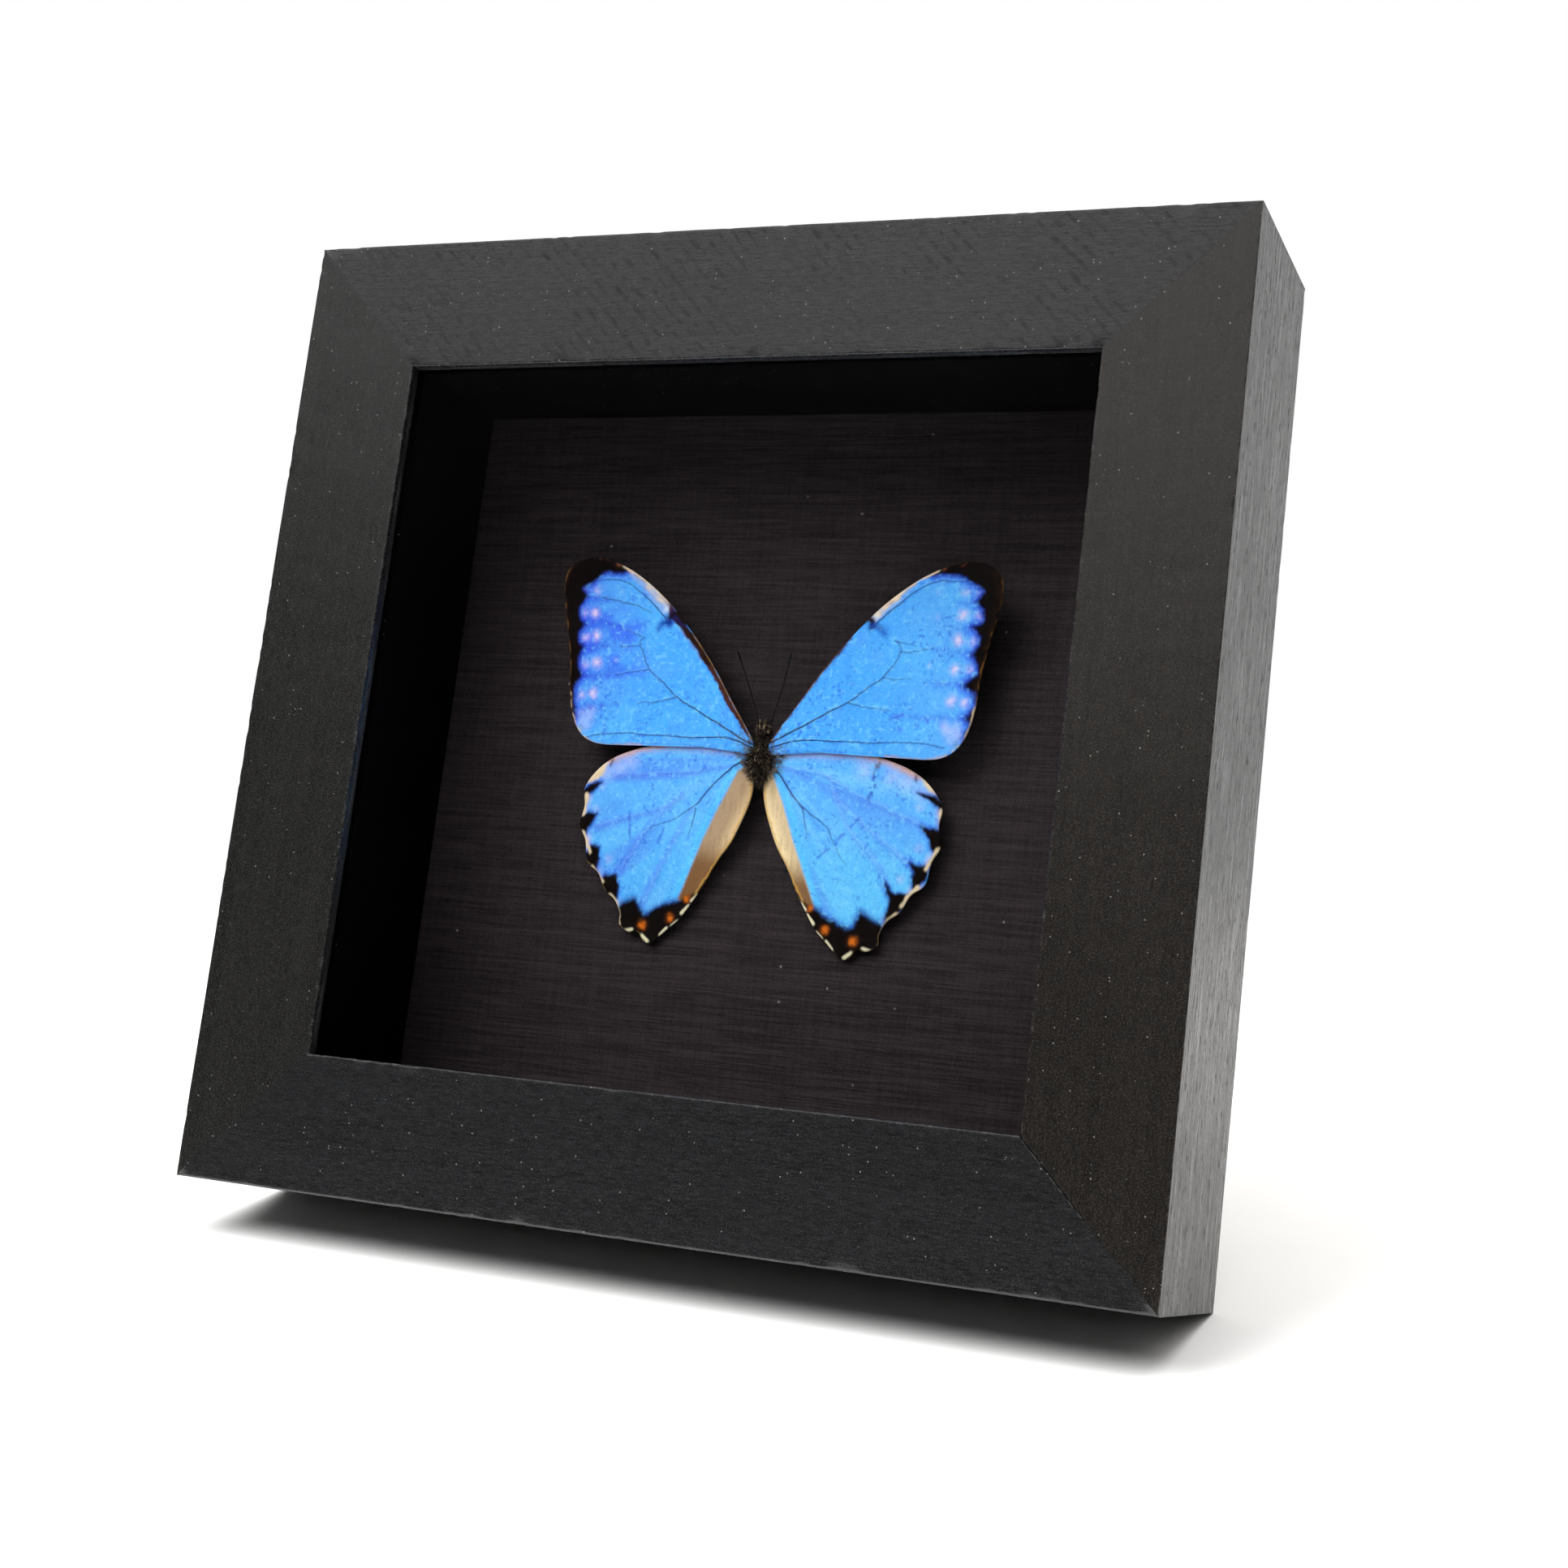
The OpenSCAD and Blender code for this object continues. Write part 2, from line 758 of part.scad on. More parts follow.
// An antenna bends towards the glass along an arc, and ends in a thicker club
module antenna(side) {
    arc_angle = antenna_len / antenna_bend_r * 180 / PI;
    club_angle = club_len / antenna_bend_r * 180 / PI;
    color([0.1, 0.08, 0.07])
        on_specimen()
            difference() {
                translate([side * antenna_x, head_y, head_z])
                    rotate([antenna_rise, side * antenna_splay, 0])
                        translate([0, -antenna_bend_r, 0])
                            rotate([0, -90, 0]) {
                                rotate([0, 0, 90 - arc_angle])
                                    rotate_extrude(angle = arc_angle)
                                        translate([antenna_bend_r, 0])
                                            circle(r = antenna_r, $fn = 16);
                                rotate([0, 0, 90 - arc_angle])
                                    rotate_extrude(angle = club_angle)
                                        translate([antenna_bend_r, 0])
                                            circle(r = club_r, $fn = 16);
                            }
                head_shape();
            }
}

module antenna_left() antenna(-1);
module antenna_right() antenna(1);

// The cork block is hollowed where the thorax lies in it
module specimen_block() {
    color([0.6, 0.45, 0.28])
        difference() {
            in_case()
                translate([specimen_x, 0, case_h / 2 + specimen_z + thorax_z])
                    box([-block_w / 2, specimen_y + thorax_y + thorax_r / 2, -block_h / 2],
                        [block_w / 2, sheet_front, block_h / 2]);
            on_specimen()
                thorax_shape();
        }
}

rail_top();
rail_bottom();
rail_left();
rail_right();
corner_v_nails();
glass_pane();
liner_top();
liner_bottom();
liner_left();
liner_right();
linen_sheet();
mount_board();
back_panel();
button_left_upper();
button_left_lower();
button_right_upper();
button_right_lower();
button_screws();
hanger();
hanger_nails();
easel_plate();
easel_plate_rivets();
easel_pin();
easel_leaf();
easel_leg();
easel_leg_rivets();
specimen_block();
forewing_left();
forewing_right();
hindwing_left();
hindwing_right();
thorax();
head();
eyes();
palps();
antenna_left();
antenna_right();
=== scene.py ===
"""Looks of a framed butterfly in a deep case that leans on its easel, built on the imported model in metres."""

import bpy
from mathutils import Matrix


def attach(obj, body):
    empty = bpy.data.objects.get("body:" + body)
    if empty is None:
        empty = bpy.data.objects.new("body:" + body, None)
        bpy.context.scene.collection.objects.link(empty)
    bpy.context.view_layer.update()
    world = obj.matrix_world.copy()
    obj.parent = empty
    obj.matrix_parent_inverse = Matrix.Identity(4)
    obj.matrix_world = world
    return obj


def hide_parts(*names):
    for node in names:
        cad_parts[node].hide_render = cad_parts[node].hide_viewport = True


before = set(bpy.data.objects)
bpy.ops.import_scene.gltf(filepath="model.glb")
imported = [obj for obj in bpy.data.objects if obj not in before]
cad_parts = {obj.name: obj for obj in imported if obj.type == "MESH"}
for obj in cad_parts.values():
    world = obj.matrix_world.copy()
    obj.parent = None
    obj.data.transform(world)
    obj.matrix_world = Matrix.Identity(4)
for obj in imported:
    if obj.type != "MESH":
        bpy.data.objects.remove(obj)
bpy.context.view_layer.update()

import logging
import math
from contextlib import contextmanager
from dataclasses import dataclass
from enum import Enum
from typing import Any, Iterator, Sequence

import bmesh
import bpy
import numpy as np
from mathutils import Matrix, Vector

LOG = logging.getLogger("butterfly_case")
MM = 0.001
SAME_POINT = 1e-6  # metres within which two points of a CAD mesh are one
BOX_PLAY = 1e-5  # metres of play around the box that holds one solid
Colour = tuple[float, float, float, float]
Spot = tuple[float, float]
Points = tuple[Spot, ...]
Shade = tuple[int, int, int]


class Run(Enum):
    """Which way the grain of a piece of wood runs."""

    ACROSS = "across"
    UPRIGHT = "upright"


class Side(Enum):
    """A side of the butterfly, as the sign of its distance from the middle."""

    LEFT = -1
    RIGHT = 1


def ink(red: int, green: int, blue: int) -> Colour:
    """Turns a colour as a screen shows it into the renderer's linear one.

    Args:
        red: Red from 0 to 255.
        green: Green from 0 to 255.
        blue: Blue from 0 to 255.

    Returns:
        The linear colour with full cover.
    """
    parts = [c / 255 for c in (red, green, blue)]
    linear = [c / 12.92 if c <= 0.04045 else ((c + 0.055) / 1.055) ** 2.4 for c in parts]
    return (linear[0], linear[1], linear[2], 1.0)


@dataclass(frozen=True)
class CasePlace:
    """Where the leaning case stands, with its sizes in millimetres."""

    width: float = 152.4
    height: float = 149.0
    depth: float = 32.0
    rail: float = 20.5
    lean: float = 16.0
    shift: float = -11.8194

    def matrix(self) -> Matrix:
        """Gives the move from the upright case in millimetres to the leaning one in metres."""
        turn = Matrix.Rotation(math.radians(-self.lean), 4, "X")
        back = Matrix.Translation((0, -self.depth, 0))
        return Matrix.Scale(MM, 4) @ Matrix.Translation((0, self.shift, 0)) @ turn @ back


CASE = CasePlace()


@dataclass(frozen=True)
class SpecimenPlace:
    """Where the butterfly stands in the case, in millimetres and degrees."""

    x: float = 1.7
    y: float = 24.5
    z: float = 74.1
    pitch: float = 5.0

    def matrix(self) -> Matrix:
        """Gives the move from the butterfly's own millimetres to the world's metres."""
        turn = Matrix.Rotation(math.radians(self.pitch), 4, "X")
        return CASE.matrix() @ Matrix.Translation((self.x, self.y, self.z)) @ turn


SPECIMEN = SpecimenPlace()


class Value:
    """A node's output that sums can be written with."""

    def __init__(self, bench: "Bench", socket: Any) -> None:
        """Keeps the output and the bench that its sums are built on."""
        self.bench = bench
        self.socket = socket

    def _maths(self, operation: str, first: Any, second: Any) -> "Value":
        """Adds one Math node and returns its output."""
        return self.bench.add("ShaderNodeMath", {0: first, 1: second}, {"operation": operation})

    def __add__(self, other: Any) -> "Value":
        """Adds."""
        return self._maths("ADD", self, other)

    __radd__ = __add__

    def __mul__(self, other: Any) -> "Value":
        """Multiplies."""
        return self._maths("MULTIPLY", self, other)

    __rmul__ = __mul__

    def __sub__(self, other: Any) -> "Value":
        """Takes the other away."""
        return self._maths("SUBTRACT", self, other)

    def __rsub__(self, other: Any) -> "Value":
        """Is taken away from the other."""
        return self._maths("SUBTRACT", other, self)

    def __truediv__(self, other: Any) -> "Value":
        """Divides by the other."""
        return self._maths("DIVIDE", self, other)

    def __abs__(self) -> "Value":
        """Drops the sign."""
        return self._maths("ABSOLUTE", self, 0.0)

    def lower(self, other: Any) -> "Value":
        """Takes the lower of two."""
        return self._maths("MINIMUM", self, other)

    def higher(self, other: Any) -> "Value":
        """Takes the higher of two."""
        return self._maths("MAXIMUM", self, other)

    def fade(self, start: float, end: float) -> "Value":
        """Rises smoothly from 0 where this is start to 1 where it is end."""
        return self.bench.add("ShaderNodeMapRange", {"Value": self, "From Min": start, "From Max": end},
                              {"interpolation_type": "SMOOTHSTEP"})


class Bench:
    """Builds the nodes of one tree."""

    def __init__(self, tree: bpy.types.NodeTree) -> None:
        """Keeps the tree."""
        self.tree = tree

    def add(self, kind: str, sockets: dict[Any, Any] | None = None, settings: dict[str, Any] | None = None,
            out: Any = 0) -> Value:
        """Adds any node.

        Args:
            kind: The node's type.
            sockets: A value or a link for each input, by name or number.
            settings: Its settings, which are set first.
            out: The name or number of the output that is returned.

        Returns:
            The chosen output.
        """
        made = self.tree.nodes.new(kind)
        for key, value in (settings or {}).items():
            setattr(made, key, value)
        for key, value in (sockets or {}).items():
            if isinstance(value, Value):
                self.tree.links.new(value.socket, made.inputs[key])
            else:
                made.inputs[key].default_value = value
        return Value(self, made.outputs[out] if len(made.outputs) else None)

    def other(self, value: Value, out: str) -> Value:
        """Gives another output of the node that a value comes from."""
        return Value(self, value.socket.node.outputs[out])

    def split(self, vector: Value) -> tuple[Value, Value, Value]:
        """Splits a vector into its three numbers."""
        first = self.add("ShaderNodeSeparateXYZ", {0: vector})
        return first, self.other(first, "Y"), self.other(first, "Z")

    def join(self, x: Any, y: Any, z: Any) -> Value:
        """Joins three numbers into a vector."""
        return self.add("ShaderNodeCombineXYZ", {0: x, 1: y, 2: z})

    def noise(self, at: Value, scale: float, detail: float = 3, rough: float = 0.5,
              warp: float = 0.0) -> Value:
        """Gives soft noise from about 0.25 to 0.75."""
        return self.add("ShaderNodeTexNoise", {"Vector": at, "Scale": scale, "Detail": detail,
                                               "Roughness": rough, "Distortion": warp})

    def cells(self, at: Value, scale: float) -> Value:
        """Gives the distance from the middles of scattered cells."""
        return self.add("ShaderNodeTexVoronoi", {"Vector": at, "Scale": scale}, out="Distance")

    def chance(self, cells: Value) -> Value:
        """Gives a number from 0 to 1 that is the same all over a cell."""
        return self.split(self.other(cells, "Color"))[0]

    def blend(self, factor: Any, first: Any, second: Any, way: str = "MIX") -> Value:
        """Mixes two colours."""
        return self.add("ShaderNodeMix", {0: factor, 6: first, 7: second},
                        {"data_type": "RGBA", "blend_type": way}, 2)

    def millimetres(self) -> Value:
        """Gives the place on the piece in the upright case's millimetres."""
        lean = math.radians(CASE.lean)
        move = Matrix.Rotation(lean, 3, "X") @ Vector((0, -CASE.shift, 0)) + Vector((0, CASE.depth, 0))
        here = self.add("ShaderNodeTexCoord", out="Object")
        return self.add("ShaderNodeMapping", {"Vector": here, "Scale": (1 / MM,) * 3,
                                              "Rotation": (lean, 0, 0), "Location": move})

    def bump(self, height: Value, deep: float) -> Value:
        """Makes a height into a surface that is deep millimetres from its lowest to its highest."""
        return self.add("ShaderNodeBump", {"Height": height, "Distance": deep * MM})

    def surface(self, colour: Value, roughness: Value, **others: Any) -> None:
        """Ends a material in one Principled shader.

        Args:
            colour: Its colour.
            roughness: Its roughness.
            **others: Its other inputs, with an underscore for each space.
        """
        sockets = {key.replace("_", " "): value for key, value in others.items()}
        sockets.update({"Base Color": colour, "Roughness": roughness})
        shader = self.add("ShaderNodeBsdfPrincipled", sockets)
        self.add("ShaderNodeOutputMaterial", {"Surface": shader})


def new_material(name: str) -> tuple[bpy.types.Material, Bench]:
    """Starts an empty material.

    Args:
        name: The material's name.

    Returns:
        The material and the bench for its nodes.
    """
    material = bpy.data.materials.new(name)
    material.use_nodes = True
    material.node_tree.nodes.clear()
    return material, Bench(material.node_tree)


@dataclass(frozen=True)
class Finish:
    """A finish, whose patterns follow the upright case's millimetres."""

    name: str

    def make(self) -> bpy.types.Material:
        """Builds the material."""
        material, b = new_material(self.name)
        self.nodes(b, b.millimetres())
        return material

    def nodes(self, b: Bench, place: Value) -> None:
        """Builds the nodes of the finish from the place on the piece."""
        raise NotImplementedError


@dataclass(frozen=True)
class StainedWood(Finish):
    """Wood under a thin black stain, with its grain, pores, dust, worn edges and a painted highlight along its
    mitres.
    """

    run: Run
    seed: float
    figure: float = 0.0
    peel: float = 0.0
    fibre: float = 0.3
    grit: float = 0.5
    pale: Colour = ink(46, 46, 47)
    colour: Colour = ink(5, 5, 5)
    roughness: float = 0.2
    ior: float = 1.6
    ridges: float = 0.9
    joints: bool = True
    wear: float = 0.6

    def nodes(self, b: Bench, place: Value) -> None:
        """Builds the nodes: the stain over the grain, then pores, dots, dust, wear and a painted highlight
        along the mitres.
        """
        x, y, z = b.split(place)
        along, over = (x, z) if self.run is Run.ACROSS else (z, x)

        def drawn(stretch: float, *noise: float) -> Value:
            """Gives noise that is drawn out along the grain."""
            return b.noise(b.join(along * stretch + self.seed, y, over), *noise)

        bands = drawn(0.028, 0.36, 3, 0.55, 0.5).fade(0.3, 0.7)
        streaks = drawn(0.028, 1.25, 3, 0.6).fade(0.32, 0.68)
        fibres = drawn(0.13, 3.4, 3, 0.7).fade(0.3, 0.7)
        pore = drawn(0.2, 5.5, 2, 0.5).fade(0.6, 0.7)
        rows = drawn(0.08, 1.1, 4, 0.75).fade(0.3, 0.7)
        ticks = drawn(0.3, 1.5, 2, 0.6).fade(0.58, 0.68)
        pebble = b.noise(place, 2.6, 3, 0.65)
        fine = b.noise(place, 4.4, 2, 0.8).fade(0.36, 0.66)
        grit = b.noise(place, 3.9, 3, 0.85).fade(0.5, 0.68)
        flank = y.fade(0.4, 1.2) * float(self.joints)
        shade = bands * 0.1 + streaks * 0.1 + fibres * self.fibre + fine * 0.2 + grit * self.grit
        if self.figure:
            curl = b.join((along + over) * 0.7071, y, (along - over) * 0.25)
            waves = {"Vector": curl, "Scale": 0.17, "Distortion": 5.0, "Detail": 3.0, "Detail Scale": 0.5,
                     "Detail Roughness": 0.65}
            lines = b.add("ShaderNodeTexWave", waves, {"bands_direction": "X"}, "Fac")
            where = b.noise(place, 0.055, 2).fade(0.4, 0.55) * b.noise(place, 0.6, 3).fade(0.4, 0.62)
            figured = lines.fade(0.6, 0.97) * where * self.figure
            shade = shade - figured
        colour = b.blend(shade, self.colour, self.pale)
        colour = b.blend(pore * 0.6, colour, ink(3, 3, 3))
        colour = b.blend(flank * rows.fade(0.45, 0.9), colour, ink(74, 74, 74))
        colour = b.blend(flank * ticks * 0.8, colour, ink(3, 3, 3))
        if self.peel:
            dots = b.noise(place, 3.4, 3, 0.8).fade(0.53, 0.68) * b.noise(place, 0.5, 3).fade(0.3, 0.6)
            colour = b.blend(dots * self.peel, colour, ink(98, 76, 58))
        specks = b.cells(place, 1.05)
        dust = (b.chance(specks).fade(0.45, 1.0) * 0.15 - specks).fade(0.0, 0.05)
        colour = b.blend(dust * 0.75, colour, ink(132, 131, 124))
        height = pebble * 0.5 + streaks * self.ridges * 0.25 + fibres * self.fibre * 0.5
        height = height + grit * 0.14 - pore * 0.3
        height = height + flank * (rows * 6.0 + fibres * 0.8 - ticks * 3.0)
        if self.joints:
            colour, height = self._edges(b, place, colour, height)
        rough = grit * self.grit * 0.2 + fibres * 0.04 + self.roughness
        rough = rough + flank * ((1 - rows) * 0.14 + ticks * 0.3)
        if self.figure:
            height = height - figured * 2.0
            rough = rough + figured * 0.8
        b.surface(colour, rough, Normal=b.bump(height, 0.02), IOR=self.ior)

    def _edges(self, b: Bench, place: Value, colour: Value, height: Value) -> tuple[Value, Value]:
        """Lays over the stain the wear of the outer edges and the opening's edge, the dark mitre seams and a
        painted highlight along the gaping mitres.

        Args:
            b: The bench.
            place: The place on the piece.
            colour: The colour so far.
            height: The height so far.

        Returns:
            The colour and the height with the wear, the seams and the painted highlight.
        """
        x, y, z = b.split(place)
        half_w, half_h = CASE.width / 2, CASE.height / 2
        side, rise = abs(x), abs(z - half_h)
        outer = (half_w - side).lower(half_h - rise)
        ragged = b.noise(place, 0.8, 4, 0.7)
        front = (0.9 - y).fade(0.0, 0.9)
        rim = (0.4 - outer).fade(0.0, 0.35) * front
        inner = (outer - (CASE.rail - 0.6)).fade(0.0, 0.5) * front
        rub = (rim * self.wear + inner * self.wear) * ragged.fade(0.48, 0.72)
        colour = b.blend(rub * 0.7, colour, ink(96, 96, 94))
        off = side - rise - (half_w - half_h)
        lower_right = (x - 30.0).fade(0.0, 4.0) * (24.0 - z).fade(0.0, 3.0) * (outer - 10.0).fade(0.0, 2.0)
        gaping = (b.noise(place, 0.06, 2).fade(0.5, 0.7) * 0.14).higher(lower_right)
        seam = (gaping * 0.06 + 0.07 - abs(off)).fade(0.0, 0.05)
        seam = seam * (3.0 - y).fade(0.0, 1.0) * (gaping * 0.85 + 0.08)
        # lit is a painted highlight: a pale line along the gaping mitre's edge
        lit = (0.22 - abs(off + 0.2)).fade(0.0, 0.16) * gaping * ragged.fade(0.44, 0.6) * front
        colour = b.blend(lit * 0.32, colour, ink(112, 112, 108))
        colour = b.blend(seam, colour, ink(2, 2, 2))
        return colour, height - seam * 0.3


@dataclass(frozen=True)
class ClearGlass:
    """The pane in front, which is clear and hardly mirrors."""

    name: str = "clear_glass"

    def make(self) -> bpy.types.Material:
        """Builds the material: glass, but clear for mirrored, scattered and shadow light."""
        material, b = new_material(self.name)
        pane = b.add("ShaderNodeBsdfPrincipled", {"Base Color": (1, 1, 1, 1), "Roughness": 0.02, "IOR": 1.07,
                                                  "Transmission Weight": 1.0})
        clear = b.add("ShaderNodeBsdfTransparent", {"Color": (0.97, 0.98, 0.975, 1)})
        path = b.add("ShaderNodeLightPath", out="Is Camera Ray")
        for ray in ("Is Glossy Ray", "Is Diffuse Ray", "Is Shadow Ray"):
            pane = b.add("ShaderNodeMixShader", {0: b.other(path, ray), 1: pane, 2: clear})
        b.add("ShaderNodeOutputMaterial", {"Surface": pane})
        return material


@dataclass(frozen=True)
class LinenPaper(Finish):
    """Dark paper pressed with the threads of linen."""

    name: str = "linen_paper"

    def nodes(self, b: Bench, place: Value) -> None:
        """Builds the nodes: threads both ways, thick and thin, with a little fluff."""
        x, _, z = b.split(place)
        weft = b.noise(b.join(x * 0.035, 0.0, z), 2.4, 2, 0.6).fade(0.36, 0.64)
        warp = b.noise(b.join(x, 3.0, z * 0.06), 2.5, 2, 0.55).fade(0.34, 0.66)
        slub = b.noise(b.join(x * 0.02, 7.0, z), 0.9, 3, 0.6).fade(0.35, 0.7)
        cross_slub = b.noise(b.join(x, 11.0, z * 0.07), 1.0, 3, 0.6).fade(0.35, 0.7)
        threads = weft * 0.5 + warp * 0.18 + slub * 0.26 + cross_slub * 0.1
        mottle = b.noise(place, 3.4, 4, 0.75)
        colour = b.blend(threads * 0.62 + mottle.fade(0.3, 0.7) * 0.42, ink(21, 17, 19), ink(58, 51, 53))
        fluff = b.cells(place, 0.16)
        colour = b.blend((0.045 - fluff).fade(0.0, 0.03) * 0.6, colour, ink(150, 145, 140))
        b.surface(colour, 0.78, Normal=b.bump(threads + mottle * 0.2, 0.07), IOR=1.2)


@dataclass(frozen=True)
class PressedBoard(Finish):
    """Board of pressed fibres: card, hardboard or the leg's covered board."""

    dark: Colour
    light: Colour
    roughness: float
    fibre: float = 0.8
    deep: float = 0.05

    def nodes(self, b: Bench, place: Value) -> None:
        """Builds the nodes: strands that lie all ways, and flecks."""
        x, y, z = b.split(place)
        strands = b.noise(b.join(x * 0.5, y, z), self.fibre * 1.6, 5, 0.7, 1.2)
        crossed = b.noise(b.join(x, y, z * 0.35), self.fibre * 2.3, 4, 0.65, 0.8)
        cloud = b.noise(place, 0.09, 3)
        leaning = b.noise(b.join((x + z) * 0.09, y, x - z), self.fibre, 3, 0.7).fade(0.55, 0.68)
        falling = b.noise(b.join((x - z) * 0.09, y, x + z), self.fibre * 1.1, 3, 0.7).fade(0.55, 0.68)
        body = strands.fade(0.3, 0.7) * 0.4 + crossed.fade(0.3, 0.7) * 0.3 + cloud.fade(0.3, 0.7) * 0.12
        body = body + (leaning + falling) * 0.22
        flecks = b.noise(place, 3.1, 1).fade(0.66, 0.72)
        colour = b.blend(flecks * 0.5, b.blend(body, self.dark, self.light), self.dark)
        normal = b.bump(strands + crossed * 0.7 + (leaning + falling) * 0.3, self.deep)
        b.surface(colour, strands.fade(0.2, 0.8) * 0.12 + self.roughness, Normal=normal)


@dataclass(frozen=True)
class Metal(Finish):
    """Small steel hardware, plated or painted, with brushing, dull spots and rubbed places."""

    colour: Colour
    dull: Colour
    roughness: float
    metallic: float = 1.0

    def nodes(self, b: Bench, place: Value) -> None:
        """Builds the nodes: brushing one way, stains and scratches."""
        x, y, z = b.split(place)
        brushed = b.noise(b.join(x * 0.3, y, z), 6.0, 3, 0.6)
        stains = b.noise(place, 0.7, 4, 0.65, 0.8)
        scratch = b.noise(b.join(x * 0.25 + z * 1.2, y, z * 0.25 - x * 1.1), 2.4, 2).fade(0.63, 0.66)
        colour = b.blend(stains.fade(0.52, 0.8) * 0.7, self.colour, self.dull)
        rough = brushed.fade(0.2, 0.8) * 0.16 + stains.fade(0.4, 0.7) * 0.14 + self.roughness
        b.surface(colour, rough - scratch * 0.08, Metallic=self.metallic,
                  Normal=b.bump(brushed * 0.3 - scratch * 0.4, 0.02))


@dataclass(frozen=True)
class Cork(Finish):
    """Pressed cork with dark grains."""

    name: str = "cork"

    def nodes(self, b: Bench, place: Value) -> None:
        """Builds the nodes: grains of many browns with dark gaps."""
        grains = b.cells(place, 1.4)
        colour = b.blend(b.chance(grains), ink(120, 82, 50), ink(188, 142, 96))
        colour = b.blend(b.noise(place, 4.0, 4).fade(0.58, 0.66) * 0.8, colour, ink(60, 38, 24))
        b.surface(colour, 0.85, Normal=b.bump(grains, 0.12))


@dataclass(frozen=True)
class WingScales(Finish):
    """The wing's painted scales, with lone dark scales, rubbed ones and painted glints where scales would catch
    the light.
    """

    name: str = "wing_scales"

    def nodes(self, b: Bench, place: Value) -> None:
        """Builds the nodes: the paint made lighter and darker, and then the odd scales and the painted glints.
        """
        colour = paint = b.add("ShaderNodeVertexColor", None, {"layer_name": "paint"}, "Color")
        worn = b.add("ShaderNodeAttribute", None, {"attribute_name": "worn"}, "Fac")
        tone = b.noise(place, 2.6, 5, 0.8)
        lighter = b.blend(0.5, paint, ink(150, 205, 255), "SCREEN")
        darker = b.blend(1.0, paint, ink(178, 190, 240), "MULTIPLY")
        lone = b.noise(place, 5.2, 2, 0.6).fade(0.655, 0.72)
        rubbed = b.noise(place, 2.9, 3, 0.7).fade(0.6, 0.7)
        # painted glints: pale cyan specks that stand for scales catching the light
        painted_glints = b.noise(place, 3.7, 2, 0.6, 0.4).fade(0.6, 0.7)
        for cover, scale in ((tone.fade(0.5, 0.8) * 0.42 * worn, lighter),
                             (tone.fade(0.5, 0.25) * 0.7, darker),
                             (lone * worn * 0.75, ink(28, 70, 190)),
                             (rubbed * worn * 0.55, ink(40, 92, 220)),
                             (painted_glints * worn * 0.35, ink(170, 226, 255))):
            colour = b.blend(cover, colour, scale)
        rows = b.noise(place, 9.0, 2, 0.6)
        b.surface(colour, rows.fade(0.2, 0.8) * 0.2 + 0.5, Normal=b.bump(rows + tone * 1.2, 0.03), IOR=1.2)


@dataclass(frozen=True)
class Fuzz(Finish):
    """Hair and scales on the body, from a dark colour to a light one, changing from place to place."""

    dark: Colour
    light: Colour
    share: float = 0.55
    scale: float = 2.2
    roughness: float = 0.6

    def nodes(self, b: Bench, place: Value) -> None:
        """Builds the nodes: soft patches of the two colours."""
        pick = b.noise(place, self.scale, 4, 0.7)
        colour = b.blend(pick.fade(self.share - 0.06, self.share + 0.12), self.dark, self.light)
        b.surface(colour, pick.fade(0.2, 0.8) * 0.2 + self.roughness, Normal=b.bump(pick, 0.05), IOR=1.4)


@dataclass(frozen=True)
class WingRib(Finish):
    """The wing's veins, dark at the body and blue further out."""

    name: str = "wing_rib"

    def nodes(self, b: Bench, place: Value) -> None:
        """Builds the nodes: dark with brown places, and blue away from the body."""
        out = abs(b.split(place)[0] - SPECIMEN.x) + b.noise(place, 0.5, 2) * 8.0
        near = b.blend(b.noise(place, 0.35, 2).fade(0.5, 0.62), ink(14, 15, 30), ink(70, 50, 40))
        colour = b.blend(out.fade(9.0, 30.0), near, ink(36, 76, 182))
        b.surface(colour, b.noise(place, 4.0).fade(0.2, 0.8) * 0.2 + 0.45, IOR=1.4)


@dataclass(frozen=True)
class FacetedEye(Finish):
    """An insect's eye, dark and glossy, with its small facets."""

    name: str = "insect_eye"

    def nodes(self, b: Bench, place: Value) -> None:
        """Builds the nodes: small facets under a coat."""
        facets = b.cells(place, 14.0)
        colour = b.blend(b.noise(place, 3.0, 3).fade(0.4, 0.7), ink(26, 17, 12), ink(84, 62, 42))
        rough = facets.fade(0.1, 0.6) * 0.2 + 0.18
        b.surface(colour, rough, Normal=b.bump(1 - facets, 0.02), Coat_Weight=0.3)


def smooth(mesh: bpy.types.Mesh) -> None:
    """Lets every face shade smoothly."""
    mesh.polygons.foreach_set("use_smooth", [True] * len(mesh.polygons))


def turn_outwards(mesh: bpy.types.Mesh, same: float = 0.0) -> None:
    """Turns the faces of a closed mesh outwards, once points within same metres are joined."""
    work = bmesh.new()
    work.from_mesh(mesh)
    if same:
        bmesh.ops.remove_doubles(work, verts=work.verts, dist=same)
    bmesh.ops.recalc_face_normals(work, faces=work.faces)
    work.to_mesh(mesh)
    work.free()
    smooth(mesh)


def grid_faces(rows: int, count: int) -> list[tuple[int, ...]]:
    """Joins rows of points, each a ring of as many, with four-sided faces."""
    return [(r * count + k, r * count + (k + 1) % count, (r + 1) * count + (k + 1) % count,
             (r + 1) * count + k) for r in range(rows - 1) for k in range(count)]


@contextmanager
def cad_copy(node: str) -> Iterator[bmesh.types.BMesh]:
    """Opens a copy of a CAD node's mesh with its loose triangles joined.

    Args:
        node: The node's name.

    Yields:
        The copy, which is gone afterwards.
    """
    work = bmesh.new()
    work.from_mesh(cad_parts[node].data)
    bmesh.ops.remove_doubles(work, verts=work.verts, dist=SAME_POINT)
    yield work
    work.free()


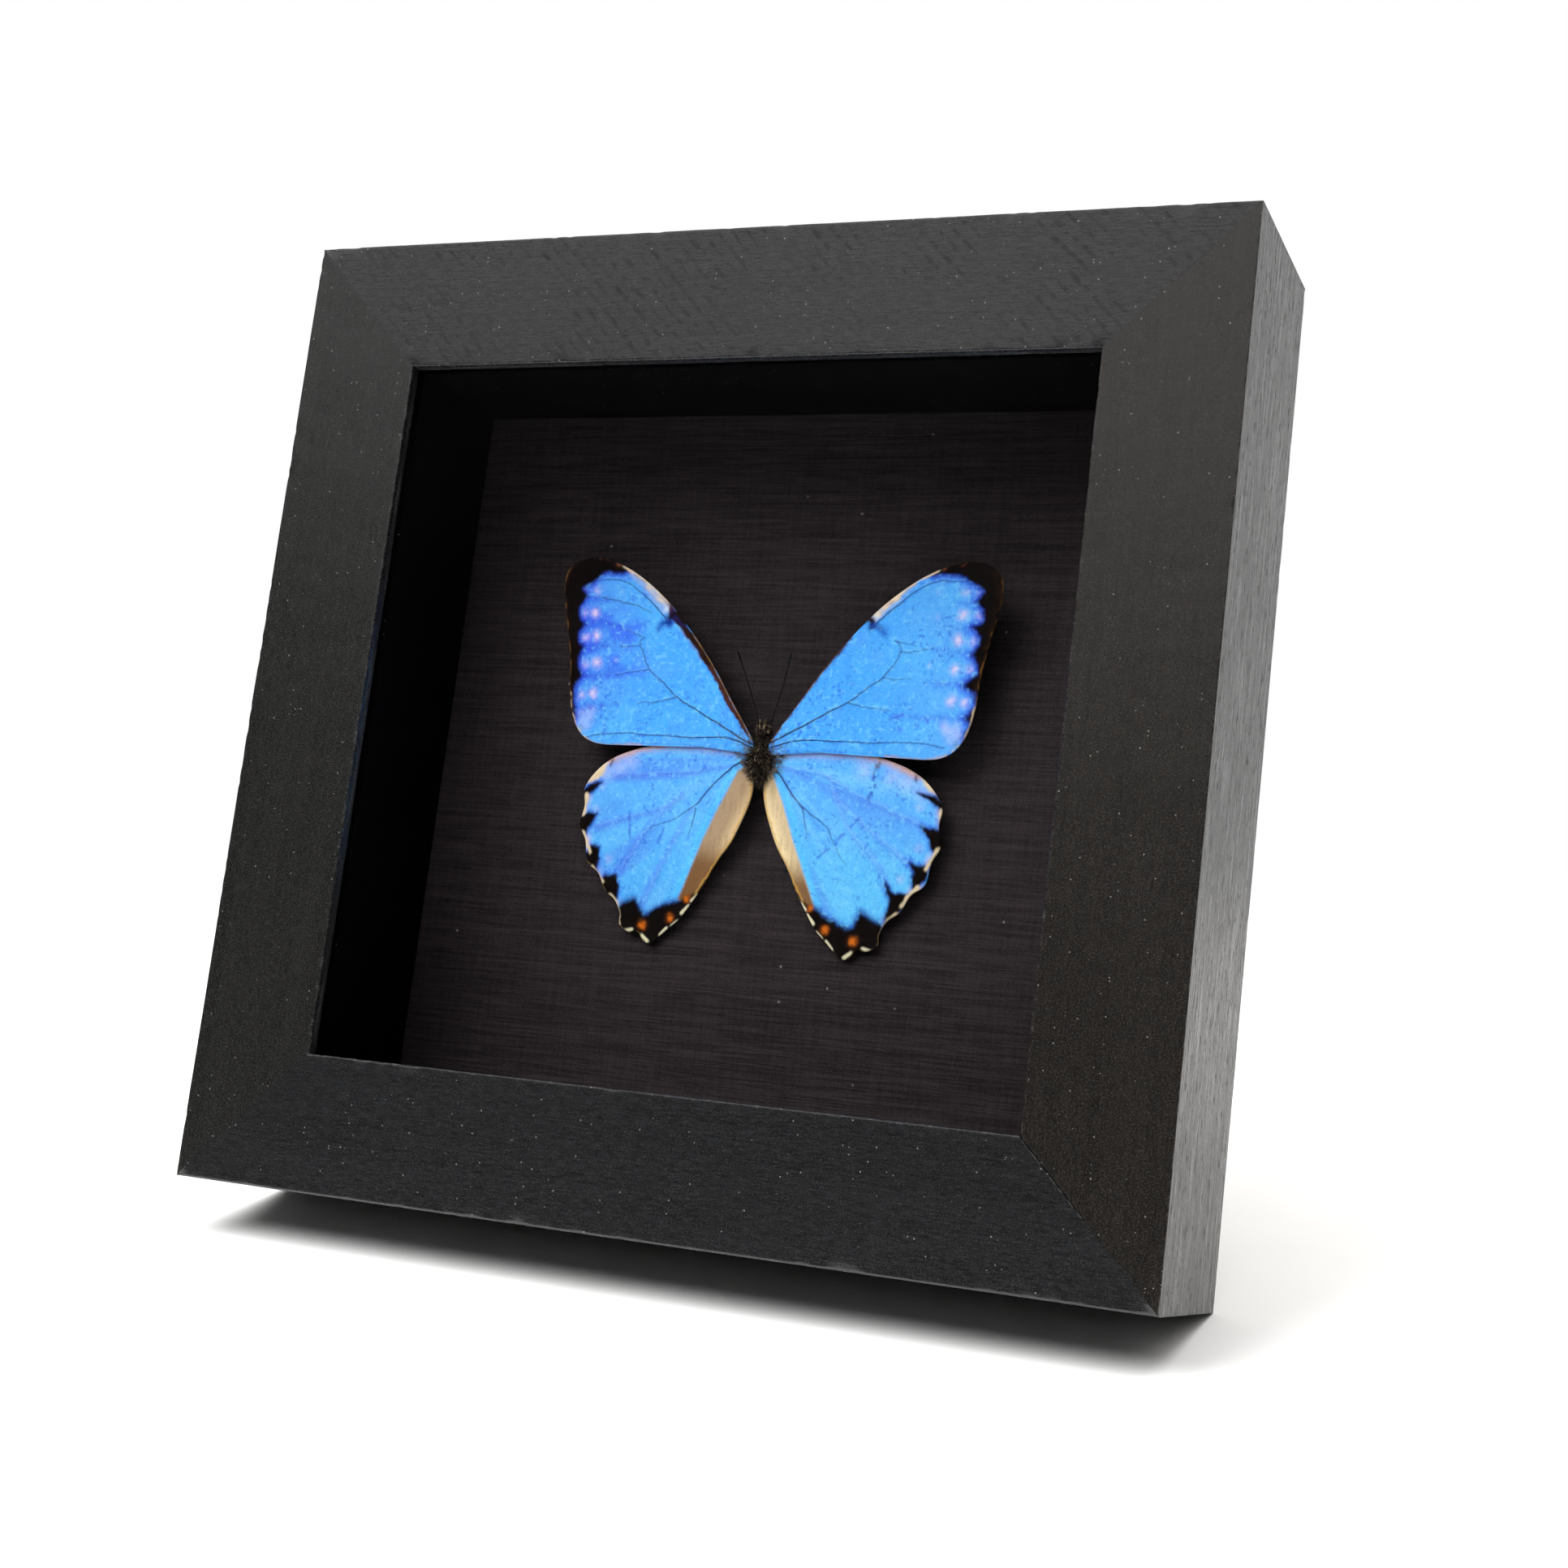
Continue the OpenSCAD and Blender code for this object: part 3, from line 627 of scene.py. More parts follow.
def new_piece(name: str, mesh: bpy.types.Mesh,
              material: bpy.types.Material | None = None) -> bpy.types.Object:
    """Puts a mesh into the scene.

    Args:
        name: The piece's name.
        mesh: Its mesh, already in place.
        material: Its finish, where the mesh has none yet.

    Returns:
        The new object.
    """
    piece = bpy.data.objects.new(name, mesh)
    bpy.context.scene.collection.objects.link(piece)
    if material is not None:
        mesh.materials.clear()
        mesh.materials.append(material)
    return piece


def stand_for(piece: bpy.types.Object, body: str, slot: str, *nodes: str) -> None:
    """Lets a piece ride on a body, in place of CAD nodes.

    Args:
        piece: The piece.
        body: The CAD body it moves with.
        slot: Not used.
        *nodes: The CAD nodes that it replaces.
    """
    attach(piece, body)
    if nodes:
        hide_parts(*nodes)
    LOG.info("made %s with %d faces", piece.name, len(piece.data.polygons))


def dress(node: str, material: bpy.types.Material) -> None:
    """Gives a CAD node its finish."""
    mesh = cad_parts[node].data
    mesh.materials.clear()
    mesh.materials.append(material)
    LOG.info("dressed %s", node)


def islands(node: str) -> list[np.ndarray]:
    """Lists the separate solids of a CAD node.

    Args:
        node: The node's name.

    Returns:
        The places of each solid's points, in metres.
    """
    found = []
    with cad_copy(node) as work:
        left = set(work.verts)
        while left:
            grown, edge = set(), [min(left, key=lambda v: v.index)]
            while edge:
                point = edge.pop()
                if point in grown:
                    continue
                grown.add(point)
                edge.extend(e.other_vert(point) for e in point.link_edges)
            left -= grown
            found.append(np.array([v.co[:] for v in sorted(grown, key=lambda v: v.index)]))
    return found


@dataclass(frozen=True)
class Easing:
    """How a CAD node's edges are eased: width in millimetres, faces round an edge and the least bends."""

    width: float
    steps: int = 2
    from_bend: float = 30.0
    flat: float = 0.8
    shown_bend: float = 35.0

    def mesh(self, node: str, name: str, keep: np.ndarray | None = None) -> bpy.types.Mesh:
        """Copies a CAD node with its edges eased.

        Args:
            node: The node's name.
            name: The new mesh's name.
            keep: Points of the only solid that is kept, or nothing for all of them.

        Returns:
            The mesh, in place.
        """
        mesh = bpy.data.meshes.new(name)
        with cad_copy(node) as work:
            if keep is not None:
                low, high = keep.min(0) - BOX_PLAY, keep.max(0) + BOX_PLAY
                out = [v for v in work.verts if not all(low[i] <= v.co[i] <= high[i] for i in range(3))]
                bmesh.ops.delete(work, geom=out, context="VERTS")
            bmesh.ops.dissolve_limit(work, angle_limit=math.radians(self.flat), verts=work.verts,
                                     edges=work.edges)
            bend = math.radians(self.from_bend)
            sharp = [e for e in work.edges if len(e.link_faces) == 2 and e.calc_face_angle(0) > bend]
            bmesh.ops.bevel(work, geom=sharp, offset=self.width * MM, segments=self.steps, profile=0.5,
                            affect="EDGES", clamp_overlap=True)
            bmesh.ops.triangulate(work, faces=[f for f in work.faces if len(f.verts) > 4])
            work.to_mesh(mesh)
        mesh.set_sharp_from_angle(angle=math.radians(self.shown_bend))
        smooth(mesh)
        return mesh

    def piece(self, node: str, name: str, body: str, slot: str, material: bpy.types.Material) -> None:
        """Builds the eased piece that replaces a CAD node.

        Args:
            node: The node's name.
            name: The new piece's name.
            body: The CAD body it moves with.
            slot: The name of its material slot.
            material: Its finish.
        """
        stand_for(new_piece(name, self.mesh(node, name), material), body, slot, node)


class Growth:
    """One Geometry Nodes tree with named inputs."""

    def __init__(self, name: str, **inputs: str) -> None:
        """Starts the tree with its geometry, its named inputs and its material."""
        self.tree = bpy.data.node_groups.new(name, "GeometryNodeTree")
        face = self.tree.interface
        face.new_socket("Geometry", in_out="INPUT", socket_type="NodeSocketGeometry")
        for label, kind in {**inputs, "Material": "Material"}.items():
            face.new_socket(label, in_out="INPUT", socket_type=f"NodeSocket{kind}")
        face.new_socket("Geometry", in_out="OUTPUT", socket_type="NodeSocketGeometry")
        self.bench = Bench(self.tree)
        self.start = self.bench.add("NodeGroupInput")

    def named(self, label: str) -> Value:
        """Gives one of the tree's inputs."""
        return self.bench.other(self.start, label)

    def end(self, geometry: Value) -> "Growth":
        """Ends the tree in Realize Instances and Set Material."""
        real = self.bench.add("GeometryNodeRealizeInstances", {0: geometry})
        done = self.bench.add("GeometryNodeSetMaterial",
                              {"Geometry": real, "Material": self.named("Material")})
        self.bench.add("NodeGroupOutput", {0: done})
        return self

    def run(self, name: str, mesh: bpy.types.Mesh, **values: Any) -> bpy.types.Object:
        """Runs the tree over a mesh.

        Args:
            name: The new piece's name.
            mesh: The mesh that the tree grows from.
            **values: A value for each named input.

        Returns:
            The piece, whose mesh is plain and has no modifier left.
        """
        piece = new_piece(name, mesh)
        grow = piece.modifiers.new("grow", "NODES")
        grow.node_group = self.tree
        for item in self.tree.interface.items_tree:
            if item.item_type == "SOCKET" and item.in_out == "INPUT" and item.name in values:
                grow[item.identifier] = values[item.name]
        graph = bpy.context.evaluated_depsgraph_get()
        plain = bpy.data.meshes.new_from_object(piece.evaluated_get(graph), depsgraph=graph)
        piece.modifiers.remove(grow)
        piece.data = plain
        plain.name = name
        return piece


def tube_growth() -> Growth:
    """Builds the tree that puts a round tube along every line, as thick as its points say.

    Returns:
        The tree.
    """
    made = Growth("tube_along_line", Sides="Int", Thickness="Float")
    b = made.bench
    curve = b.add("GeometryNodeMeshToCurve", {"Mesh": made.start})
    ring = b.add("GeometryNodeCurvePrimitiveCircle",
                 {"Resolution": made.named("Sides"), "Radius": made.named("Thickness")}, {"mode": "RADIUS"})
    thick = b.add("GeometryNodeInputNamedAttribute", {"Name": "thick"}, {"data_type": "FLOAT"})
    tube = b.add("GeometryNodeCurveToMesh",
                 {"Curve": curve, "Profile Curve": ring, "Scale": thick, "Fill Caps": True})
    return made.end(b.add("GeometryNodeSetShadeSmooth", {"Geometry": tube, "Shade Smooth": True}))


def hair_growth() -> Growth:
    """Builds the tree that covers a surface with bent, tapering hairs.

    Returns:
        The tree.
    """
    made = Growth("hair_on_surface", Density="Float", Length="Float", Thickness="Float", Spread="Float",
                  Comb="Vector", Seed="Int")
    b = made.bench
    seed, length = made.named("Seed"), made.named("Length")
    spots = b.add("GeometryNodeDistributePointsOnFaces",
                  {"Mesh": made.start, "Density": made.named("Density"), "Seed": seed})
    loose = b.add("FunctionNodeRandomValue", {0: (-1, -1, -1), 1: (1, 1, 1), "Seed": seed},
                  {"data_type": "FLOAT_VECTOR"})
    spread = b.add("ShaderNodeVectorMath", {0: loose, "Scale": made.named("Spread")}, {"operation": "SCALE"})
    lean = b.add("ShaderNodeVectorMath", {0: spread, 1: made.named("Comb")}, {"operation": "ADD"})
    way = b.add("ShaderNodeVectorMath", {0: lean, 1: b.other(spots, "Normal")}, {"operation": "ADD"})
    turn = b.add("FunctionNodeAlignRotationToVector", {"Vector": way}, {"axis": "Z"})
    size = b.add("FunctionNodeRandomValue", {2: 0.45, 3: 1.15, "Seed": seed}, {"data_type": "FLOAT"}, 1)
    stem = b.add("GeometryNodeCurveQuadraticBezier",
                 {"Resolution": 3, "Start": (0, 0, -0.1), "Middle": (0, 0, 0.55), "End": (0.28, 0, 1)})
    ring = b.add("GeometryNodeCurvePrimitiveCircle", {"Resolution": 3, "Radius": 1.0}, {"mode": "RADIUS"})
    thin = (1.05 - b.add("GeometryNodeSplineParameter")) * made.named("Thickness") / length
    hair = b.add("GeometryNodeCurveToMesh",
                 {"Curve": stem, "Profile Curve": ring, "Scale": thin, "Fill Caps": True})
    return made.end(b.add("GeometryNodeInstanceOnPoints",
                          {"Points": spots, "Instance": hair, "Rotation": turn, "Scale": size * length}))


def fastener_growth() -> Growth:
    """Builds the tree that puts the same fastener on every point, turned as the point says.

    Returns:
        The tree.
    """
    made = Growth("fastener_on_point", Fastener="Object")
    b = made.bench
    one = b.add("GeometryNodeObjectInfo", {"Object": made.named("Fastener")}, out="Geometry")
    turn = b.add("GeometryNodeInputNamedAttribute", {"Name": "turn"}, {"data_type": "FLOAT_VECTOR"})
    return made.end(b.add("GeometryNodeInstanceOnPoints",
                          {"Points": made.start, "Instance": one, "Rotation": turn}))


def smooth_path(points: Points, steps: int, closed: bool = False) -> np.ndarray:
    """Draws a smooth curve through points.

    Args:
        points: The points that it passes.
        steps: How many steps from one point to the next.
        closed: Whether it runs back to its first point.

    Returns:
        The curve's points.
    """
    p = np.array(points, float)
    count = len(p)
    made = []
    for i in range(count if closed else count - 1):
        numbers = [i - 1, i, i + 1, i + 2]
        a, b, c, d = (p[n % count] if closed else p[min(max(n, 0), count - 1)] for n in numbers)
        for k in range(steps):
            t = k / steps
            made.append(0.5 * (2 * b + (c - a) * t + (2 * a - 5 * b + 4 * c - d) * t * t
                               + (3 * b - a - 3 * c + d) * t ** 3))
    if not closed:
        made.append(p[-1])
    return np.array(made)


def even_ring(curve: np.ndarray, count: int) -> np.ndarray:
    """Spreads points evenly along a closed curve.

    Args:
        curve: The curve's points.
        count: How many points.

    Returns:
        The evenly spread points.
    """
    ring = np.vstack([curve, curve[:1]])
    run = np.concatenate([[0], np.cumsum(np.linalg.norm(np.diff(ring, axis=0), axis=1))])
    at = np.linspace(0, run[-1], count, endpoint=False)
    return np.stack([np.interp(at, run, ring[:, k]) for k in range(ring.shape[1])], 1)


def soft_noise(p: np.ndarray, size: float, seed: int) -> np.ndarray:
    """Gives smooth noise from -1 to 1 at places in a plane or in space.

    Args:
        p: The places.
        size: The distance over which it changes.
        seed: Which noise.

    Returns:
        One number for each place.
    """
    q = p / size
    cell = np.floor(q).astype(np.int64)
    part = q - cell
    part = part * part * (3 - 2 * part)
    total = np.zeros(len(p))
    dims = p.shape[1]
    for corner in range(2 ** dims):
        bits = [(corner >> k) & 1 for k in range(dims)]
        key = np.full(len(p), seed * 1013, np.int64)
        weight = np.ones(len(p))
        for k, bit in enumerate(bits):
            key = (key * 31 + cell[:, k] + bit) * 668265263 & 0x7FFFFFFF
            key ^= key >> 13
            weight *= part[:, k] if bit else 1 - part[:, k]
        key = key * 1274126177 & 0x7FFFFFFF
        total += weight * (((key ^ (key >> 15)) & 0xFFFF) / 32767.5 - 1)
    return total


def line_distance(p: np.ndarray, path: np.ndarray) -> tuple[np.ndarray, np.ndarray]:
    """Measures how far places are from a path.

    Args:
        p: The places.
        path: The path's points.

    Returns:
        The distance, and how far along the path its nearest point lies, from 0 to 1.
    """
    best, where = np.full(len(p), 1e9), np.zeros(len(p))
    for i in range(len(path) - 1):
        a, b = path[i], path[i + 1]
        ab = b - a
        t = np.clip((p - a) @ ab / max(float(ab @ ab), 1e-9), 0, 1)
        far = np.linalg.norm(p - a - t[:, None] * ab, axis=1)
        near = far < best
        best[near], where[near] = far[near], (i + t[near]) / (len(path) - 1)
    return best, where


def inside(p: np.ndarray, loop: np.ndarray) -> np.ndarray:
    """Says which places lie inside a loop."""
    found = np.zeros(len(p), bool)
    for a, b in zip(loop, np.roll(loop, -1, axis=0)):
        if a[1] != b[1]:
            cross = a[0] + (p[:, 1] - a[1]) * (b[0] - a[0]) / (b[1] - a[1])
            found ^= ((a[1] > p[:, 1]) != (b[1] > p[:, 1])) & (p[:, 0] < cross)
    return found


def soft_step(x: np.ndarray) -> np.ndarray:
    """Rises smoothly from 0 to 1."""
    t = np.clip(x, 0, 1)
    return t * t * (3 - 2 * t)


def moved(path: Points, right: float, up: float) -> Points:
    """Moves a path in its plane."""
    return tuple((x + right, y + up) for x, y in path)


@dataclass(frozen=True)
class FastenerSet:
    """One kind of fastener: its CAD node, its new piece, slot and body, and how its copies stand."""

    node: str
    name: str
    slot: str
    material: bpy.types.Material
    width: float = 0.08
    body: str = "case"
    square: bool = False
    proud: float = 0.0
    lean: float = -CASE.lean

    def _turns(self, places: list[Vector]) -> list[float]:
        """Gives each fastener's turn: to its own corner of the case, or else by a hand's chance."""
        if not self.square:
            return [0.9 * i * i + 0.4 * i for i in range(len(places))]
        middle = sum(places, Vector()) / len(places)
        eighths = [math.atan2(c.z - middle.z, c.x - middle.x) - math.pi / 4 for c in places]
        quarters = [round(turn / (math.pi / 2)) * math.pi / 2 for turn in eighths]
        return [quarters[0] - quarter for quarter in quarters]

    def place(self, tree: Growth) -> None:
        """Copies one of the node's fasteners, eases it and sets it wherever the node has one."""
        solids = islands(self.node)
        stand = Matrix.Rotation(math.radians(self.lean), 4, "X")
        centres = [Vector(((s.min(0) + s.max(0)) / 2).tolist()) for s in solids]
        local = [stand.to_3x3().transposed() @ c for c in centres]
        source = new_piece(f"{self.name}_one", Easing(self.width).mesh(self.node, self.name, solids[0]))
        source.data.transform(stand.inverted() @ Matrix.Translation(-centres[0]))
        points = bpy.data.meshes.new(f"{self.name}_places")
        points.from_pydata([c[:] for c in local], [], [])
        turn = points.attributes.new("turn", "FLOAT_VECTOR", "POINT")
        turn.data.foreach_set("vector", [v for angle in self._turns(local) for v in (0, angle, 0)])
        piece = tree.run(self.name, points, Fastener=source, Material=self.material)
        piece.data.transform(stand @ Matrix.Translation((0, self.proud * MM, 0)))
        bpy.data.objects.remove(source)
        stand_for(piece, self.body, self.slot, self.node)


@dataclass(frozen=True)
class Rail:
    """One rail: its node, its quarter turns from the bottom one, its wood's look and its grain's shift."""

    node: str
    turn: int
    figure: float
    peel: float
    fibre: float
    grit: float
    pale: Colour
    apart: float = 37.0

    def wood(self) -> bpy.types.Material:
        """Builds its stained wood."""
        run = Run.UPRIGHT if self.turn % 2 else Run.ACROSS
        return StainedWood(f"black_wood_{self.node}", run, self.turn * self.apart, self.figure,
                           self.peel, self.fibre, self.grit, self.pale).make()


@dataclass(frozen=True)
class RailFrame:
    """The four mitred rails and the V-nails across their joints, with wear in millimetres."""

    wall: float = 15.5
    lip: float = 2.0
    step: float = 0.9
    gap: float = 0.16
    wave: float = 0.02
    ripple: float = 0.012
    chip: float = 0.09
    corner: float = 0.25
    apart: float = 71.0
    rails: tuple[Rail, ...] = (
        Rail("rail_bottom", 0, 0.0, 0.1, 0.36, 0.42, ink(43, 44, 46)),
        Rail("rail_left", 1, 0.0, 0.08, 0.34, 1.0, ink(43, 43, 42)),
        Rail("rail_top", 2, 0.3, 0.05, 0.85, 1.25, ink(42, 42, 44)),
        Rail("rail_right", 3, 0.0, 0.3, 0.25, 0.72, ink(44, 41, 38)))

    def section(self) -> np.ndarray:
        """Gives the rail's eased section as depth and distance from its outer face, with many points."""
        corners = [(0, 0, 0.35), (CASE.depth, 0, 0.35), (CASE.depth, self.wall, 0.25),
                   (self.lip, self.wall, 0.1), (self.lip, CASE.rail, 0.2), (0, CASE.rail, 0.28)]
        made: list[np.ndarray] = []
        for i, (y, out, r) in enumerate(corners):
            here = np.array([y, out], float)
            before, after = np.array(corners[i - 1][:2], float), np.array(corners[(i + 1) % 6][:2], float)
            start = here + (before - here) / np.linalg.norm(before - here) * r
            end = here + (after - here) / np.linalg.norm(after - here) * r
            if made:
                made.extend(self._between(made[-1], start))
            made.extend([(1 - t) ** 2 * start + 2 * t * (1 - t) * here + t * t * end
                         for t in np.linspace(0, 1, 5)])
        made.extend(self._between(made[-1], made[0]))
        return np.array(made)

    def _between(self, a: np.ndarray, b: np.ndarray) -> list[np.ndarray]:
        """Gives the points between two ends of a straight run, with one close to each end."""
        run = float(np.linalg.norm(b - a))
        near = min(0.15, run / 4) / run
        count = max(1, int(run / (2 * self.step)))
        return [a + (b - a) * t for t in (near, *(k / count for k in range(1, count)), 1 - near)]

    def rail_mesh(self, name: str, turn: int) -> bpy.types.Mesh:
        """Builds one rail, with soft waves, worn edges and chipped corners.

        Args:
            name: The mesh's name.
            turn: How many quarter turns from the bottom rail.

        Returns:
            The mesh, in place.
        """
        length, reach = (CASE.height, CASE.width) if turn % 2 else (CASE.width, CASE.height)
        section = self.section()
        count = len(section)
        centre = section - (np.roll(section, 1, 0) + np.roll(section, -1, 0)) / 2
        side = np.roll(section, -1, 0) - np.roll(section, 1, 0)
        out = np.stack([side[:, 1], -side[:, 0]], 1)
        out /= np.linalg.norm(out, axis=1)[:, None]
        edge = soft_step(np.abs((centre * out).sum(1)) / 0.02)
        spans = np.linspace(-1, 1, int(length / self.step))
        points = []
        for s in spans:
            gap = soft_step((section[:, 1] - 9) / 4) * self.gap if turn == 0 and s == 1 else 0.0
            half = length / 2 - section[:, 1]
            p = np.stack([half * s - gap, section[:, 0], section[:, 1]], 1)
            seat = p + (turn * self.apart, 0, 0)
            wave = soft_noise(seat, 9.0, 3) * self.wave + soft_noise(seat, 2.2, 4) * self.ripple
            chip = soft_step((soft_noise(seat, 1.3, 5) - 0.35) / 0.4) * edge
            corner = soft_step(1 - (1 - abs(s)) * length / 5)
            corner = corner * soft_step((soft_noise(seat, 0.9, 6) + 0.1) / 0.7)
            push = wave - 0.02 - chip * self.chip - corner * edge * self.corner
            p[:, 1:] += out * push[:, None]
            points.append(p)
        faces = grid_faces(len(spans), count)
        faces += [tuple(range(count)), tuple(range((len(spans) - 1) * count, len(spans) * count))]
        spin = Matrix.Rotation(math.radians(90 * turn), 4, "Y")
        move = Matrix.Translation((0, 0, CASE.height / 2)) @ spin @ Matrix.Translation((0, 0, -reach / 2))
        move = CASE.matrix() @ move
        mesh = bpy.data.meshes.new(name)
        mesh.from_pydata([move @ Vector(p) for p in np.vstack(points)], [], faces)
        turn_outwards(mesh, same=1e-7)
        rims = {key for face in mesh.polygons if len(face.vertices) > 4 for key in face.edge_keys}
        for line in mesh.edges:
            line.use_edge_sharp = line.key in rims
        return mesh

    def build(self, fastener: Growth) -> None:
        """Builds and dresses the rails and the V-nails."""
        for rail in self.rails:
            piece = new_piece(f"{rail.node}_wood", self.rail_mesh(rail.node, rail.turn), rail.wood())
            stand_for(piece, "case", "black_wood", rail.node)
        steel = Metal("v_nail_steel", ink(150, 152, 155), ink(96, 92, 88), 0.34).make()
        FastenerSet("corner_v_nails", "corner_v_nail_set", "bright_steel", steel, 0.06, square=True,
                    proud=0.05).place(fastener)


@dataclass(frozen=True)
class GlazedBox:
    """The glass, the liner behind it and the three layers of the backing."""

    eased: float = 0.25

    def build(self) -> None:
        """Dresses the sheets and lays the stained wood on the liner."""
        dress("glass_pane", ClearGlass().make())
        dress("linen_sheet", LinenPaper().make())
        card = PressedBoard("grey_card", ink(120, 116, 110), ink(150, 146, 138), 0.85)
        dress("mount_board", card.make())
        hardboard = PressedBoard("hardboard", ink(58, 38, 26), ink(122, 90, 64), 0.6, 1.1, 0.07)
        dress("back_panel", hardboard.make())
        for node, run, seed in (("liner_top", Run.ACROSS, 3.0), ("liner_bottom", Run.ACROSS, 19.0),
                                ("liner_left", Run.UPRIGHT, 31.0), ("liner_right", Run.UPRIGHT, 47.0)):
            wood = StainedWood(f"black_{node}", run, seed, colour=ink(3, 3, 4), pale=ink(9, 8, 9),
                               roughness=0.7, ior=1.1, ridges=0.3, joints=False).make()
            Easing(self.eased).piece(node, f"{node}_wood", "case", "black_liner", wood)


@dataclass(frozen=True)
class BackHardware:
    """The turn buttons, their screws and the toothed hanger, with edges eased by millimetres."""

    button_edge: float = 0.16
    hanger_edge: float = 0.12

    def build(self, fastener: Growth) -> None:
        """Builds and dresses the hardware on the back."""
        plate = Metal("button_steel", ink(168, 170, 172), ink(120, 118, 112), 0.3).make()
        for place in ("left_upper", "left_lower", "right_upper", "right_lower"):
            Easing(self.button_edge, 3).piece(f"button_{place}", f"turn_button_{place}", f"turn_{place}",
                                              "bright_steel", plate)
        yellow = Metal("yellow_zinc", ink(196, 166, 98), ink(140, 112, 70), 0.32).make()
        screws = Metal("screw_steel", ink(176, 160, 120), ink(122, 108, 86), 0.34).make()
        FastenerSet("button_screws", "button_screw_set", "yellow_steel", screws).place(fastener)
        Easing(self.hanger_edge).piece("hanger", "toothed_hanger", "case", "yellow_steel", yellow)
        FastenerSet("hanger_nails", "hanger_nail_set", "yellow_steel", screws).place(fastener)


@dataclass(frozen=True)
class Easel:
    """The hinge on the back and the leg that the case leans on."""

    open_angle: float = 30.0
    hinge_edge: float = 0.1
    leg_edge: float = 0.35

    def build(self, fastener: Growth) -> None:
        """Builds and dresses the hinge and the leg."""
        black = Metal("black_enamel", ink(38, 38, 40), ink(64, 62, 60), 0.36, 0.25).make()
        bright = Metal("rivet_steel", ink(170, 171, 174), ink(122, 120, 116), 0.28).make()
        hinge = Easing(self.hinge_edge)
        hinge.piece("easel_plate", "hinge_plate", "case", "black_steel", black)
        hinge.piece("easel_pin", "hinge_pin", "case", "bright_steel", bright)
        hinge.piece("easel_leaf", "hinge_leaf", "easel", "black_steel", black)
        board = PressedBoard("leg_board", ink(18, 18, 20), ink(52, 51, 53), 0.5, 1.9, 0.12).make()
        Easing(self.leg_edge, 3).piece("easel_leg", "stand_leg", "easel", "leg_board", board)
        FastenerSet("easel_plate_rivets", "hinge_plate_rivet_set", "bright_steel", bright).place(fastener)
        FastenerSet("easel_leg_rivets", "leg_rivet_set", "bright_steel", bright, body="easel",
                    lean=self.open_angle - CASE.lean).place(fastener)


class WingPaint:
    """Colours laid over each other on the points of a wing, in millimetres from the wings' meeting point."""

    def __init__(self, at: np.ndarray, base: Shade, seed: int) -> None:
        """Starts with one colour, and with edges made a little ragged."""
        shift = [soft_noise(at, 0.55, seed + k) * 0.13 + soft_noise(at, 1.7, seed + 5 + k) * 0.16
                 for k in (0, 1)]
        self.at = at
        self.seed = seed
        self.ragged = at + np.stack(shift, 1)
        self.colour = np.tile(np.array(ink(*base)), (len(at), 1))
        self.worn = np.ones(len(at))

    def lay(self, shade: Shade, cover: np.ndarray, bare: float = 1.0) -> None:
        """Lays a colour where its cover is, and says how much of the loose blue scales it hides."""
        cover = np.clip(cover, 0, 1)
        self.colour += (np.array(ink(*shade)) - self.colour) * cover[:, None]
        self.worn *= 1 - cover * bare

    def line(self, path: Points, width: float, soft: float, end: float | None = None) -> np.ndarray:
        """Covers a line that tapers.

        Args:
            path: Its points.
            width: Half its width at its start.
            soft: The width of its soft edge, which is ragged where it isn't fine.
            end: Half its width at its end.

        Returns:
            The cover.
        """
        curve = smooth_path(path, 5) if len(path) > 2 else np.array(path, float)
        far, where = line_distance(self.ragged if soft > 0.3 else self.at, curve)
        half = width + ((width if end is None else end) - width) * where
        return soft_step((half + soft / 2 - far) / soft)

    def field(self, loop: Points, soft: float, grow: float = 0.0, even: bool = False) -> np.ndarray:
        """Covers what lies within a loop, grown by a width, with a soft edge that is ragged or even."""
        ring, at = np.array(loop, float), self.at if even else self.ragged
        far, _ = line_distance(at, np.vstack([ring, ring[:1]]))
        return soft_step(0.5 + (np.where(inside(at, ring), far, -far) + grow) / soft)

    def spot(self, centre: Spot, radius: float, soft: float) -> np.ndarray:
        """Covers a round spot with a soft edge."""
        far = np.linalg.norm(self.ragged - np.array(centre), axis=1)
        return soft_step((radius + soft / 2 - far) / soft)

    def patches(self, size: float, low: float, high: float, seed: int) -> np.ndarray:
        """Covers scattered patches of about a size."""
        return soft_step((soft_noise(self.at, size, self.seed + seed) - low) / (high - low))

    def near(self, centre: Spot, reach: float, soft: float) -> np.ndarray:
        """Covers what is within reach of a place, with an even edge."""
        return soft_step((reach - np.linalg.norm(self.at - np.array(centre), axis=1)) / soft)

    def mottle(self) -> None:
        """Makes the painted scales lighter and darker from place to place, as they lie."""
        large = soft_noise(self.at, 1.3, self.seed + 21)
        blotch = large * 0.5 + soft_noise(self.at, 0.5, self.seed + 22) * 0.6
        self.colour *= 1 + (blotch * self.worn)[:, None] * np.array((0.16, 0.11, 0.03, 0.0))
        fleck = self.patches(0.34, 0.42, 0.7, 23) * self.patches(2.6, -0.5, 0.5, 24)
        self.lay((44, 96, 224), fleck * self.worn * 0.6, 0.0)
        self.lay((128, 212, 255), self.patches(0.5, 0.4, 0.75, 25) * self.worn * 0.45, 0.0)


@dataclass(frozen=True)
class Marks:
    """What differs between the butterfly's two sides, in points as distance from the middle and height.

    A vein is its path and its half width at both ends. A hindwing has a fold, and a forewing has none.
    """

    veins: tuple[tuple[Points, float, float], ...]
    spots: Points
    small_spots: Points
    margin: Points
    bands: tuple[Points, ...]
    streaks: tuple[Points, ...]
    costa: Points = ()
    crack: Points = ()
    fold: Points = ()
    wedges: tuple[Points, ...] = ()
    fringes: tuple[Points, ...] = ()
    pale: Points = ()


